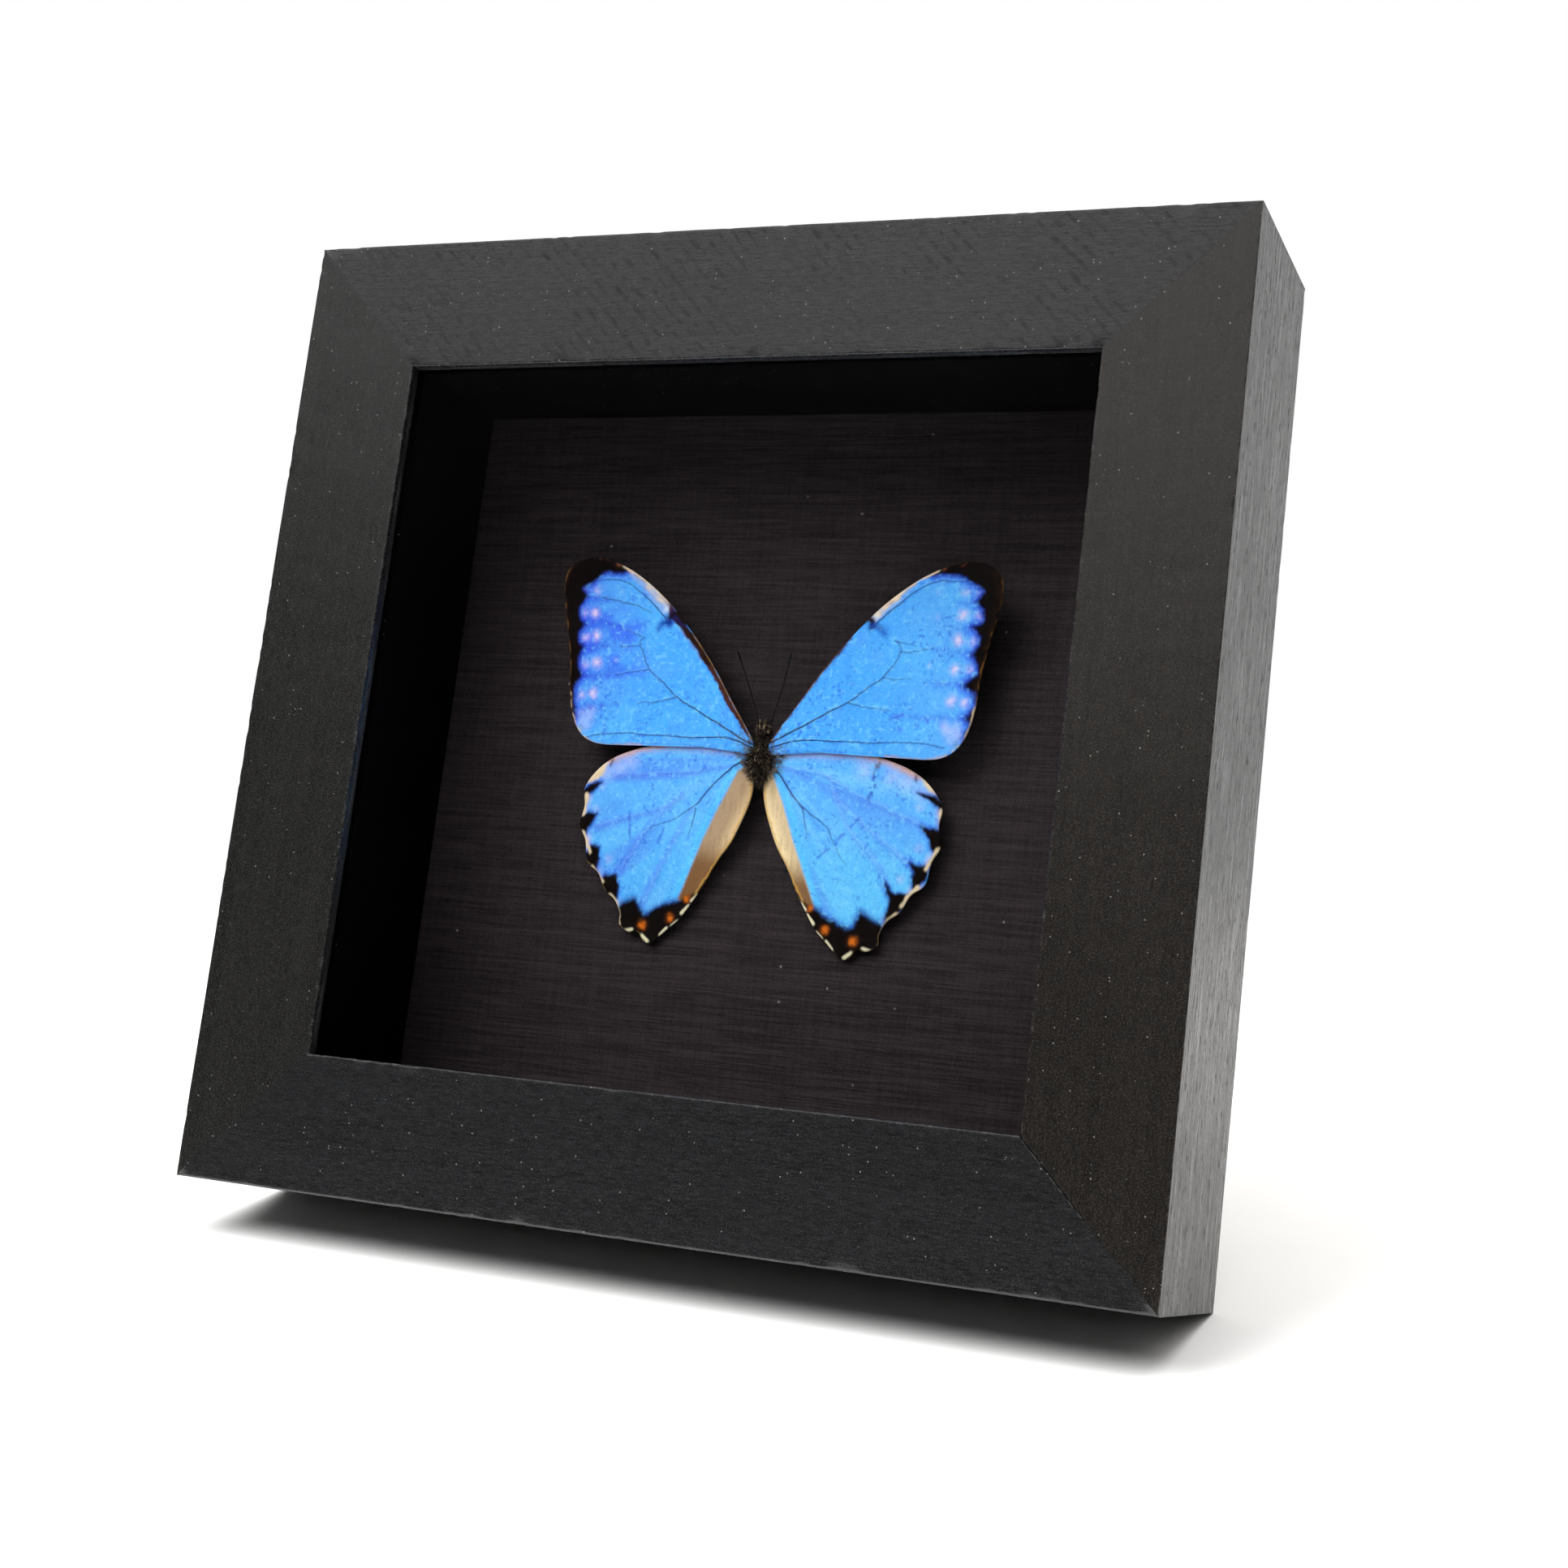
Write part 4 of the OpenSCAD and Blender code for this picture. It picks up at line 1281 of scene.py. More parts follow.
FOREWING_RIGHT = Marks(
    veins=((((1.6, 1.2), (2.5, 1.7), (6.2, 3.7), (9.8, 5.8), (13.7, 7.9), (16.2, 9.8), (18.9, 11.9),
           (21.5, 15.7), (20.6, 17.3)), 0.12, 0.05), (((13.7, 7.9), (16.4, 7.2), (20.4, 7)), 0.06, 0.03),
           (((18.9, 11.9), (21.1, 11.6), (23.3, 11.7)), 0.05, 0.02), (((21.5, 15.7), (24.1, 15.9),
           (26.5, 16.4)), 0.05, 0.02), (((20.6, 17.3), (23.8, 16.6)), 0.04, 0.02), (((16.4, 19.2),
           (17.9, 20.7), (20.6, 23.1), (23.3, 25.1), (26.4, 26.5), (30.3, 26.5)), 0.1, 0.05), (((1.8, 0.5),
           (2.3, 0.7), (5, 1.5), (8.5, 1.9), (14.5, 1.9), (19.8, 2), (25.1, 2.2), (29.5, 1.7)), 0.1, 0.05)),
    spots=((30.7, 21.5), (30.3, 17.8), (30.1, 13.4), (30, 8.7), (30.8, 25.1), (33.2, 21.4), (32.7, 17.6),
           (32.4, 13.5), (32.2, 8.4), (32.9, 24.8)),
    small_spots=((26.2, 13.7), (26.4, 24.8), (26.8, 21)),
    margin=((25.4, 27.5), (29.4, 27.5), (31.6, 26.5), (33.8, 25.3), (32.6, 23.5), (33.7, 22.3),
            (33.9, 20.6), (32.4, 19.7), (33.6, 18.1), (33.7, 17.1), (32.5, 15.7), (33.7, 14.1),
            (33.8, 12.7), (31.6, 11), (33.8, 9.7), (33.9, 8), (32.3, 6.2), (33.3, 5.3), (32.7, 3.3)),
    bands=(((22.6, 6.1), (27.4, 6), (33.1, 6)), ((25.6, 11.4), (31.6, 10.9)), ((26.5, 16.4), (32.8, 15.6)),
           ((28, 19.6), (33, 19.6)), ((29.5, 23.4), (33, 23.5))),
    streaks=(((29.3, 4.6), (31.4, 3.9)), ((29, 5.1), (30.5, 2.6)), ((31.2, 5.1), (31.6, 3.2))))
FOREWING_LEFT = Marks(
    veins=((((1.6, 0.9), (3.7, 1.8), (6.8, 3.5), (10, 5.1), (14.9, 7.7), (17.7, 10.1), (20.2, 11.9),
           (21.4, 14.3), (22.3, 16), (21.5, 17)), 0.12, 0.04), (((14.9, 7.7), (18.3, 6.9),
           (21.6, 6.5)), 0.06, 0.03), (((20.2, 11.9), (25.8, 10.9)), 0.04, 0.03), (((22.3, 15.6),
           (25.6, 15.4)), 0.04, 0.03), (((21.5, 17), (24.7, 18)), 0.03, 0.02), (((20.7, 20.9), (22.7, 21.7),
           (25.8, 22.4), (29.5, 23.1)), 0.03, 0.07), (((17.5, 19.5), (18.8, 20.7), (21.4, 23), (23.9, 24.7),
           (26.2, 25.8), (30.3, 25.9)), 0.09, 0.05), (((1.8, 0.4), (4.1, 1.3), (7.3, 1.7), (13.1, 1.5),
           (18.9, 1.6), (23.7, 1.7), (27.7, 1.4), (30.1, 0.8)), 0.1, 0.05)),
    spots=((30.6, 24.4), (30.5, 20.6), (30, 16.9), (29.5, 12.7), (29.6, 7.8), (32.6, 20.6), (32, 16.7),
           (31.7, 12.4), (31.7, 7.4), (32.8, 24.2)),
    small_spots=((26.1, 13.1), (26.2, 24)),
    margin=((26, 27.2), (29.9, 27), (31.2, 25.7), (33.3, 24.6), (32.2, 23.3), (33.5, 21.5), (33.3, 19.6),
            (32.2, 18.8), (33.2, 17.4), (33, 15.9), (32.1, 15.2), (32.8, 13.5), (32.7, 11.8), (31.9, 10.7),
            (32.9, 9.2), (33.1, 7), (32.5, 5.3), (32.8, 3.6)),
    bands=(((24.9, 6), (27.7, 5.8), (32, 5.1)), ((23, 11.3), (27, 10.8), (32.8, 10.1)), ((25, 15.5),
           (32.8, 14.8)), ((24.7, 18), (28.4, 18.9), (33.2, 19)), ((28, 22.8), (32.6, 23.3))),
    costa=((3.4, 3.2), (6.7, 7.6), (9.6, 11.8), (13.3, 16.3), (15.9, 18.9), (17.4, 20.4)),
    streaks=(((29.9, 3.9), (33, 2.6)), ((29.4, 5), (32.6, 4.2)), ((30.2, 2.8), (32.2, 1.7))))
HINDWING_RIGHT = Marks(
    veins=((((1.5, -2.2), (3.5, -3.7), (5.6, -6.3), (7.5, -8.2)), 0.13, 0.08), (((7.5, -8.2), (8.2, -10.6),
           (8.8, -12.8)), 0.07, 0.02), (((7.5, -8.2), (8.8, -9.1), (11.8, -11.1), (13.1, -13.5),
           (15.5, -16.7)), 0.07, 0.02)),
    spots=((28.4, -14.9), (24.3, -18.1), (26.2, -7.4), (26.6, -13.4)),
    small_spots=((24, -3.6), (17, -2), (21.5, -3), (26.6, -5)),
    margin=((10.9, -23.6), (12.3, -24.7), (14.2, -25.3), (16.3, -26.2), (17.6, -25.7), (18.4, -23.7),
            (19.8, -24.4), (21.6, -25.2), (22.6, -27)),
    bands=(((1.7, -2), (4.9, -2.2), (9, -2.7), (11.1, -3.1), (12, -4.3), (12.4, -5.5), (14.7, -8.1),
           (17.5, -10.1), (21.6, -13), (25.7, -15.8)), ((11.1, -3.1), (13.3, -4.5), (18.2, -6.4),
           (22.4, -8.1), (26.7, -9.8)), ((12.4, -5.5), (13.7, -8.6), (16.1, -11.8), (19.5, -15),
           (21.6, -18.7))),
    crack=((19.2, -0.6), (19.1, -1.8), (18.9, -3.2), (18.6, -4.9), (18.1, -6.9)),
    streaks=(((16.7, -9.6), (15.7, -10.7)), ((14.8, -11.9), (13.8, -12.7)), ((12.4, -14.1), (10.7, -15.6))),
    fold=((1.8, -2.6), (3, -5.2), (4.1, -7.4), (5.3, -10.3), (6.5, -13.4), (7.9, -16.5), (8.9, -18.8),
          (9.9, -21), (10.9, -23.2)),
    wedges=(((26, -5), (27.8, -5.4), (29.2, -5.9), (30.3, -7.4), (29.5, -7.3), (28.2, -6.4), (26.8, -5.7)),
            ((26.7, -10.1), (28.6, -10.5), (30.6, -10.8), (30.8, -12.5), (29.4, -14.1), (28.5, -13.4),
            (28.2, -11.9)), ((25.3, -15.5), (26.4, -16), (28.4, -15.8), (28.2, -17.6), (26.6, -19.7),
            (26.1, -18.2), (26.1, -16.8)), ((21.8, -18.8), (23.1, -20.3), (25.6, -20.4), (25, -22.3),
            (22.3, -25.3), (22.6, -23.1), (22.8, -21.3))),
    fringes=(((29.8, -7.6), (29.9, -8.8), (30, -10.4)), ((29.8, -13.4), (29, -14.8), (28, -16.4)),
             ((27.2, -19.1), (26, -20.4), (24.7, -22.1)), ((24, -23.4), (22.4, -25.2), (21.8, -27.9))),
    pale=((26.3, -2.6), (27.8, -3), (29.4, -4.3), (30.2, -6.4), (28.6, -5.3), (27.2, -4.2)))
HINDWING_LEFT = Marks(
    veins=((((1.6, -1.4), (3.8, -2.2), (5.7, -3.7), (8, -6.1), (9.9, -8.6)), 0.12, 0.08), (((10.1, -9.3),
           (10.4, -11.4), (10.9, -13.3)), 0.07, 0.03), (((9.9, -8.6), (12, -10.1), (13.9, -11.4),
           (17, -12.5), (18.9, -13.5)), 0.07, 0.02)),
    spots=((28.4, -14.9), (24.3, -18.1), (26.8, -6.8), (27.6, -10.4)),
    small_spots=((24, -3.6), (26.2, -4.6), (22, -2.6)),
    margin=((11.6, -24), (14.6, -25), (17.4, -26.6), (18.2, -25.7), (19.4, -24.1), (21.4, -25.2),
            (22.6, -27)),
    bands=(((1.7, -2), (4.9, -2.2), (11.1, -3.6), (17.5, -4.2), (24, -4.6)), ((12, -6.5), (16, -9.5),
           (22, -11.4), (27, -13)), ((12.4, -7.5), (16.5, -11), (19.5, -15), (21.8, -19)), ((10.5, -9),
           (13, -14), (15.5, -19), (17.5, -24))),
    streaks=(((15.2, -12.8), (16.2, -15)), ((17.9, -6.1), (17.6, -6.8)), ((21.5, -10.5), (21, -14.4))),
    fold=((2.2, -2.2), (3.7, -3.4), (4.9, -6), (6.8, -10), (8.5, -14.1), (9.7, -17.7), (10.9, -21.2),
          (11.8, -23.6)),
    wedges=(((26.9, -6.2), (28.1, -6.4), (29.2, -7), (30.2, -7.9), (30, -8.6), (28.4, -7.8), (27.6, -6.9)),
            ((27.4, -11.2), (28.9, -11.1), (30.5, -11.8), (30.5, -13.7), (28.9, -14.3), (28.2, -13)),
            ((26.2, -16.3), (27.6, -16.1), (28.6, -17.6), (27.9, -19.5), (26.4, -20.1), (26.2, -18.3)),
            ((22.9, -20.4), (24.7, -20.8), (25.8, -21.6), (24.1, -23.9), (22.4, -24.2), (22.3, -22.2))),
    fringes=(((29.4, -8.4), (29.5, -9.8), (29.6, -11.3)), ((29.3, -14.3), (28.6, -15.7), (27.7, -17.2)),
             ((27.1, -19.7), (26.2, -20.6), (25.1, -21.6)), ((23.7, -23.8), (22.3, -25.2), (21.6, -28))),
    pale=((26.2, -3.1), (27.8, -3.8), (29.2, -4.9), (29.7, -6.5), (28.3, -6.1), (26.9, -5)))


def thick_lines(name: str, paths: Sequence[Sequence[Sequence[float]]],
                widths: Sequence[np.ndarray]) -> bpy.types.Mesh:
    """Draws lines in the butterfly's millimetres, with a width at every point.

    Args:
        name: The mesh's name.
        paths: The points of each line.
        widths: The widths of each line.

    Returns:
        The mesh, in place, with its widths in the attribute "thick".
    """
    points, edges = [], []
    for path in paths:
        edges += [(len(points) + k, len(points) + k + 1) for k in range(len(path) - 1)]
        points += path
    mesh = bpy.data.meshes.new(name)
    mesh.from_pydata(points, edges, [])
    mesh.transform(SPECIMEN.matrix())
    thick = mesh.attributes.new("thick", "FLOAT", "POINT")
    thick.data.foreach_set("value", np.concatenate(widths).tolist())
    return mesh


@dataclass(frozen=True)
class Wing:
    """One wing: its outline and root, and where its middle lies behind the wings' plane, in millimetres."""

    node: str
    side: Side
    marks: Marks
    edge: Points
    root: Spot
    plane: float
    thick: float = 0.35
    rays: int = 400
    rings: int = 190
    back_rings: int = 15

    def relief(self, p: np.ndarray) -> np.ndarray:
        """Gives how far the wing's skin stands out towards the glass at places in its plane."""
        rise = soft_noise(p, 7.0, 11 if self.side is Side.LEFT else 12) * 0.05
        rise += soft_noise(p * (0.35, 1.0), 1.6, 13) * 0.012
        for path, width, _ in self.marks.veins:
            far, _ = line_distance(p, smooth_path(path, 3))
            rise += 0.05 * np.exp(-(far / 0.45) ** 2) * (width / 0.1)
        if self.marks.fold:
            for path in self.marks.bands:
                far, _ = line_distance(p, smooth_path(path, 3))
                rise += 0.05 * np.exp(-(far / 0.5) ** 2) - 0.02 * np.exp(-((far - 1.3) / 0.7) ** 2)
            far, _ = line_distance(p, np.array(self.marks.fold))
            rise += 0.05 * np.exp(-(far / 0.5) ** 2)
        else:
            for path in self.marks.bands:
                far, _ = line_distance(p, np.array(path, float))
                rise -= 0.03 * np.exp(-(far / 0.7) ** 2)
        return np.clip(rise, -0.1, 0.14)

    def mesh(self) -> bpy.types.Mesh:
        """Builds the wing's closed skin with its painted front and back.

        Returns:
            The mesh, in place, with its colours in the attribute "paint".
        """
        rim = even_ring(smooth_path(self.edge, 16, True), self.rays)
        root = np.array(self.root)
        spread = np.linspace(0, 1, self.rings + 1)[1:] ** 0.85
        front = (root + (rim - root) * spread[:, None, None]).reshape(-1, 2)
        spread = np.linspace(1, 0, self.back_rings + 1)[:-1]
        back = (root + (rim - root) * spread[:, None, None]).reshape(-1, 2)
        at = np.vstack([front, back, root, root])
        near_rim = np.minimum(line_distance(at, np.vstack([rim[::3], rim[:1]]))[0] / 0.35, 1)
        is_front = np.zeros(len(at), bool)
        is_front[:len(front)] = is_front[-2] = True
        half = self.thick / 2 * (0.35 + 0.65 * np.sqrt(near_rim))
        y = np.where(is_front, -half - self.relief(at) * near_rim * 0.7, half)
        points = np.stack([at[:, 0] * self.side.value, self.plane + y, at[:, 1]], 1)
        n, rows = self.rays, self.rings + self.back_rings
        last, inmost = rows * n, (rows - 1) * n
        faces = grid_faces(rows, n)
        faces += [(last, (k + 1) % n, k) for k in range(n)]
        faces += [(last + 1, inmost + k, inmost + (k + 1) % n) for k in range(n)]
        mesh = bpy.data.meshes.new(self.node)
        mesh.from_pydata(points.tolist(), [], faces)
        mesh.transform(SPECIMEN.matrix())
        turn_outwards(mesh)
        paint = self.paint_hind(at) if self.marks.fold else self.paint_fore(at)
        colours = mesh.color_attributes.new("paint", "FLOAT_COLOR", "POINT")
        colours.data.foreach_set("color", paint.colour.ravel())
        worn = mesh.attributes.new("worn", "FLOAT", "POINT")
        worn.data.foreach_set("value", paint.worn)
        return mesh

    def paint_fore(self, at: np.ndarray) -> WingPaint:
        """Paints a forewing.

        Args:
            at: The wing's points.

        Returns:
            The painted points.
        """
        m, left = self.marks, self.side is Side.LEFT
        p = WingPaint(at, (74, 168, 252), 40 + self.side.value)
        outward = soft_step((at[:, 0] - 17) / 13)
        p.lay((84, 160, 250) if left else (94, 176, 252), outward * 0.85, 0.0)
        p.lay((86, 182, 254), p.patches(5.0, -0.3, 0.8, 1) * 0.6, 0.0)
        p.lay((92, 160, 250), p.patches(3.0, 0.0, 0.9, 2) * 0.4, 0.0)
        if left:
            disc = p.field(((22.5, 16.5), (21, 19), (26, 21), (33, 22), (34, 9), (27, 11), (21, 11)), 4.0)
            p.lay((62, 108, 244), disc * p.patches(2.2, -0.9, 0.4, 12) * 0.85, 0.0)
        deep = (48, 72, 224) if left else (62, 104, 235)
        for path in m.bands:
            fleck = 0.45 + 0.55 * p.patches(0.7, -0.3, 0.5, 3)
            p.lay(deep, p.line(path, 0.25, 1.5, 0.9) * (0.7 if left else 0.5) * fleck, 0.0)
        cloud = p.spot((22, 5.2), 1.3, 2.2) + p.spot((26, 5.0), 1.0, 2.0)
        p.lay((62, 84, 226), cloud * p.patches(0.45, 0.0, 0.5, 4) * (0.2 if left else 0.75), 0.0)
        lilac = (210, 184, 244) if left else (206, 198, 252)
        for i, centre in enumerate(m.spots):
            strong = (0.5 if i in (0, 9) else 0.95) if left else (0.45 if i in (4, 9) else 1.0)
            size = 0.66 if i < 5 else 0.48
            strong *= 0.55 + 0.45 * p.patches(0.5, -0.7, 0.2, 14)
            p.lay(lilac, p.spot(centre, size, 1.7) * strong, 0.6)
            p.lay((240, 224, 246), p.spot(centre, size * 0.45, 1.0) * strong * 0.75, 0.6)
        for centre in m.small_spots:
            p.lay((190, 200, 255), p.spot(centre, 0.2, 1.0) * (0.75 if centre[1] < 20 else 0.35), 0.4)
        for path in m.streaks:
            p.lay((186, 196, 255), p.line(path, 0.5, 1.6) * 0.55, 0.3)
        border = m.margin + ((33.4, 1.2), (36.5, 1.5), (39, 10), (39, 31), (25, 32), (23.5, 28.2))
        p.lay((48, 84, 236), p.field(border, 2.0, 0.9) * 0.75, 0.0)
        p.lay((26, 30, 140), p.field(border, 1.0, 0.35) * 0.8, 0.5)
        p.lay((11, 6, 6), p.field(border, 0.7, -0.05))
        brown = p.line(self.edge[9:18], 0.7, 1.5) * p.patches(0.8, -0.3, 0.6, 5)
        p.lay((40, 24, 16), brown * 0.7)
        p.lay((150, 104, 48), p.line(self.edge[10:18], 0.08, 0.34) * p.patches(0.9, -0.25, 0.3, 6) * 0.85)
        cream = (232, 208, 176)
        top = ((17.8, 21.8), (19.9, 23.3), (22, 25.3), (24.4, 26.8)) if left else (
            (16.8, 21.4), (18.3, 22.7), (20.5, 24.7), (22.6, 26.3))
        p.lay((168, 176, 214), p.line(top, 1.1, 1.2, 0.5) * 0.7)
        start, end = (0.28, 0.2) if left else (0.8, 0.35)
        p.lay(cream, p.line(top[:3], start, 0.8, end) * (0.45 + 0.55 * p.patches(0.6, -0.4, 0.2, 15)))
        p.lay((228, 242, 250), p.spot((17.9, 21.3) if left else (16.9, 20.9), 0.4, 1.2) * 0.9, 0.5)
        p.lay((126, 74, 50), p.line(self.edge[5:9], 0.3, 0.5) * p.patches(0.7, -0.3, 0.4, 7) * 0.9)
        p.lay(cream, p.line(self.edge[5:8], 0.22, 0.4) * 0.8)
        dark = (26, 15, 10)
        if left:
            rim = self.edge[0:5] + ((17.9, 22.6),) + m.costa[::-1]
            p.lay((30, 60, 190), p.field(rim, 1.2) * 0.7, 0.5)
            p.lay((70, 38, 32), p.field(rim, 0.35))
            p.lay(dark, p.line(((10, 13.2), (13, 16.8), (16.4, 20.2)), 0.5, 0.9) * 0.85)
            gilt = 0.35 + 0.65 * p.patches(0.6, -0.4, 0.3, 8)
            p.lay((158, 118, 62), p.line(self.edge[0:5], 0.1, 0.3) * gilt)
            p.lay((158, 120, 118), p.line(((11.2, 13.4), (13.2, 15.8), (15.4, 18.2)), 0.05, 0.35) * 0.55)
        else:
            p.lay((28, 52, 170), p.line(self.edge[0:5], 0.3, 1.3) * 0.7, 0.5)
            p.lay((70, 42, 26), p.line(self.edge[0:5], 0.2, 0.4))
            p.lay((160, 96, 52), p.line(self.edge[0:4], 0.05, 0.25) * p.patches(0.8, -0.3, 0.5, 8))
        bar = ((14.8, 19.4), (16.3, 20.9), (17.2, 20.3), (17.6, 19.6)) if left else (
            (14.4, 19.9), (15.6, 20.8), (16.5, 20.4), (16.7, 19.6))
        p.lay((18, 40, 140), p.line(bar, 0.5, 1.6) * 0.8)
        p.lay(dark, p.line(bar, 0.42, 0.6))
        smudge = ((17.3, 19.3), (18.4, 19.2), (19.2, 18.3)) if left else (
            (16.9, 19.6), (17.9, 19.2), (18.7, 18.4))
        p.lay((14, 66, 186), p.line(smudge, 0.5, 1.3, 0.35) * 0.85, 0.5)
        p.lay((12, 36, 118), p.line(smudge[:2], 0.12, 0.8) * 0.8, 0.5)
        p.lay(cream, p.line(self.edge[15:19], 0.16, 0.5) * p.patches(0.7, -0.35, 0.15, 9))
        p.lay((214, 168, 150), p.line(self.edge[18:21], 0.14, 0.6) * 0.75, 0.5)
        for path, width, end in m.veins:
            # painted highlight: a pale cyan line on one side of each raised vein
            p.lay((128, 208, 255), p.line(moved(path, 0.22, 0.2), 0.05, 0.5, 0.02) * 0.5, 0.0)
            p.lay((24, 44, 116), p.line(path, width * 1.4, 0.35, end * 1.3) * 0.7, 0.5)
        p.mottle()
        p.lay((96, 82, 62), p.near((0.5, 0), 5.5, 4) * p.patches(0.35, -0.2, 0.5, 10) * 0.75)
        return p

    def paint_hind(self, at: np.ndarray) -> WingPaint:
        """Paints a hindwing.

        Args:
            at: The wing's points.

        Returns:
            The painted points.
        """
        m, left = self.marks, self.side is Side.LEFT
        p = WingPaint(at, (92, 176, 250), 60 + self.side.value)
        low = soft_step((-at[:, 1] - 6) / 16)
        p.lay((82, 178, 248) if left else (98, 200, 252), low * 0.8, 0.0)
        p.lay((108, 194, 252), p.patches(3.5, -0.2, 0.9, 1) * 0.45, 0.0)
        fan = np.arctan2(-at[:, 1] - 1, at[:, 0] - 1)
        spokes = np.stack([fan * 11, np.linalg.norm(at, axis=1) / 14], 1)
        rays = soft_noise(spokes, 1.0, 70 + self.side.value)
        p.lay((78, 124, 236), soft_step((rays - 0.1) / 0.7) * 0.42, 0.0)
        p.lay((140, 214, 255), soft_step((-rays - 0.3) / 0.6) * 0.3, 0.0)
        for path in m.bands:
            # painted shade: a deeper blue strip on one side of each raised fold; painted highlight: a pale line
            # along its ridge
            shaded_side = p.line(moved(path, 0.35, -0.45), 0.15, 1.3, 0.7)
            p.lay((78, 104, 236), shaded_side * (0.5 if left else 0.35), 0.0)
            p.lay((150, 212, 255), p.line(path, 0.05, 0.6, 0.12) * (0.25 if left else 0.4), 0.0)
        for centre in m.small_spots:
            p.lay((196, 204, 250), p.spot(centre, 0.8, 3.2) * 0.62, 0.4)
        for centre in m.spots:
            p.lay((206, 196, 246), p.spot(centre, 0.25, 1.9) * 0.6, 0.4)
        strip = ((1.5, -0.3), (3.4, -0.1), (8.8, 0.1), (14, 0.1), (19.2, -0.5), (23.1, -1.7), (25.8, -2.9))
        p.lay((172, 160, 214), p.line(strip, 0.9, 1.7, 0.5) * 0.7)
        rubbed = 0.72 + 0.28 * p.patches(2.0, -0.2, 0.4, 2)
        p.lay((206, 160, 138), p.line(self.edge[1:6], 1.0, 1.1, 0.5) * rubbed)
        p.lay((150, 112, 78), p.line(self.edge[3:7], 0.1, 0.35) * 0.75)
        folded = self._fold(p, left)
        cream = (226, 204, 168)
        p.lay(cream, p.field(m.pale, 0.8, 0.15))
        p.lay((40, 22, 30), p.line(((25.3, -2.6), (25.5, -3.4)), 0.15, 0.5))
        for path in m.fringes:
            p.lay((200, 178, 216), p.line(path, 0.8, 1.7, 0.5) * 0.8, 0.5)
        for loop in m.wedges:
            p.lay((38, 84, 224), p.field(loop, 1.4, 0.35) * 0.7, 0.0)
        for loop in m.wedges:
            p.lay((20, 24, 104), p.field(loop, 0.8, 0.15) * 0.75, 0.3)
            p.lay((12, 6, 5), p.field(loop, 0.55, 0.05))
        tip = m.margin + ((22, -31), (15, -33), (8.5, -26), (9.2, -22.6))
        p.lay((30, 76, 190), p.field(tip, 1.6, 0.8) * 0.7 * (1 - folded), 0.0)
        p.lay((14, 16, 60), p.field(tip, 0.9, 0.4) * 0.8 * (1 - folded), 0.3)
        p.lay((12, 7, 6), p.field(tip, 0.75, 0.1))
        for centre, size in (((17.5, -27.8), 0.85), ((12.9, -26.5), 0.8), ((10.3, -23.4), 0.65)):
            flecked = 0.4 + 0.6 * p.patches(0.45, -0.5, 0.2, 9)
            p.lay((104, 50, 18), p.spot(centre, size, 1.0) * flecked)
            p.lay((204, 104, 26), p.spot(centre, size * 0.7, 0.7) * flecked)
        for path in m.fringes:
            p.lay(cream, p.line(path, 0.42, 0.4, 0.28))
        for path in (((19.2, -28.7), (20.8, -29.2)), ((17.4, -29.5), (16.4, -30.3)),
                     ((13.3, -28.1), (14.2, -29.2)), ((11.6, -26.9), (12.4, -27.7)),
                     ((9.9, -24.4), (10.9, -25.6)), ((8.6, -22.7), (9.4, -23.6))):
            p.lay((232, 222, 186), p.line(path, 0.22, 0.3, 0.3))
        edge = p.line(self.edge[11:20], 0.06, 0.3) * p.patches(0.8, -0.3, 0.3, 4)
        p.lay((170, 140, 92), edge * 0.7)
        if m.crack:
            p.lay((96, 84, 84), p.line(m.crack[:3], 0.3, 0.5) * p.patches(0.5, -0.5, 0.2, 5) * 0.85)
            p.lay((52, 72, 190), p.line(m.crack[2:], 0.3, 0.6) * p.patches(0.5, -0.4, 0.2, 6) * 0.85)
        for path in m.streaks:
            p.lay((48, 78, 216), p.line(path, 0.15, 0.55) * 0.75)
        for path, width, end in m.veins:
            p.lay((36, 66, 170), p.line(path, width * 1.3, 0.45, end * 1.3) * 0.75, 0.5)
        p.mottle()
        p.lay((110, 86, 66), p.near((0.6, -1), 4.6, 3) * p.patches(0.4, -0.2, 0.5, 8) * 0.8)
        return p

    def _fold(self, p: WingPaint, left: bool) -> np.ndarray:
        """Paints the pale fold along the inner edge of a hindwing, and gives where it is."""
        fold = self.marks.fold
        p.lay((82, 206, 255), p.line(moved(fold, 0.8, 0.3), 0.4, 1.4, 0.2) * 0.6, 0.2)
        inner = fold + ((9.0, -24.8), (6.5, -21), (0, -12), (-1, -3), (0.6, -1.8))
        down = -p.at[:, 1]
        cover = p.field(inner, 0.6, 0.0, True)
        p.lay((176, 148, 118) if left else (216, 190, 152), cover)
        far, _ = line_distance(p.at, smooth_path(self.edge[23:31], 4))
        middle = np.exp(-((down - (12.5 if left else 13)) / 4.5) ** 2)
        bright = (222, 190, 146) if left else (248, 222, 174)
        p.lay(bright, cover * soft_step((2.4 - far) / 2.2) * (0.25 + 0.75 * middle), 0.0)
        p.lay((118, 80, 46), cover * soft_step((down - (13.5 if left else 15.5)) / 5) * 0.92, 0.0)
        p.lay((110, 92, 72), cover * soft_step((4.5 - down) / 3.5) * 0.55, 0.0)
        strands = soft_noise(p.at * (2.6, 0.35), 1.0, 91)
        p.lay((132, 98, 66), cover * soft_step((strands - 0.1) / 0.8) * 0.25, 0.0)
        p.lay((46, 26, 14), p.line(self.edge[24:32], 0.12, 0.3) * 0.8, 0.0)
        p.lay((214, 164, 72), p.line(moved(self.edge[24:32], 0.34, 0.0), 0.1, 0.36) * 0.8, 0.0)
        return cover

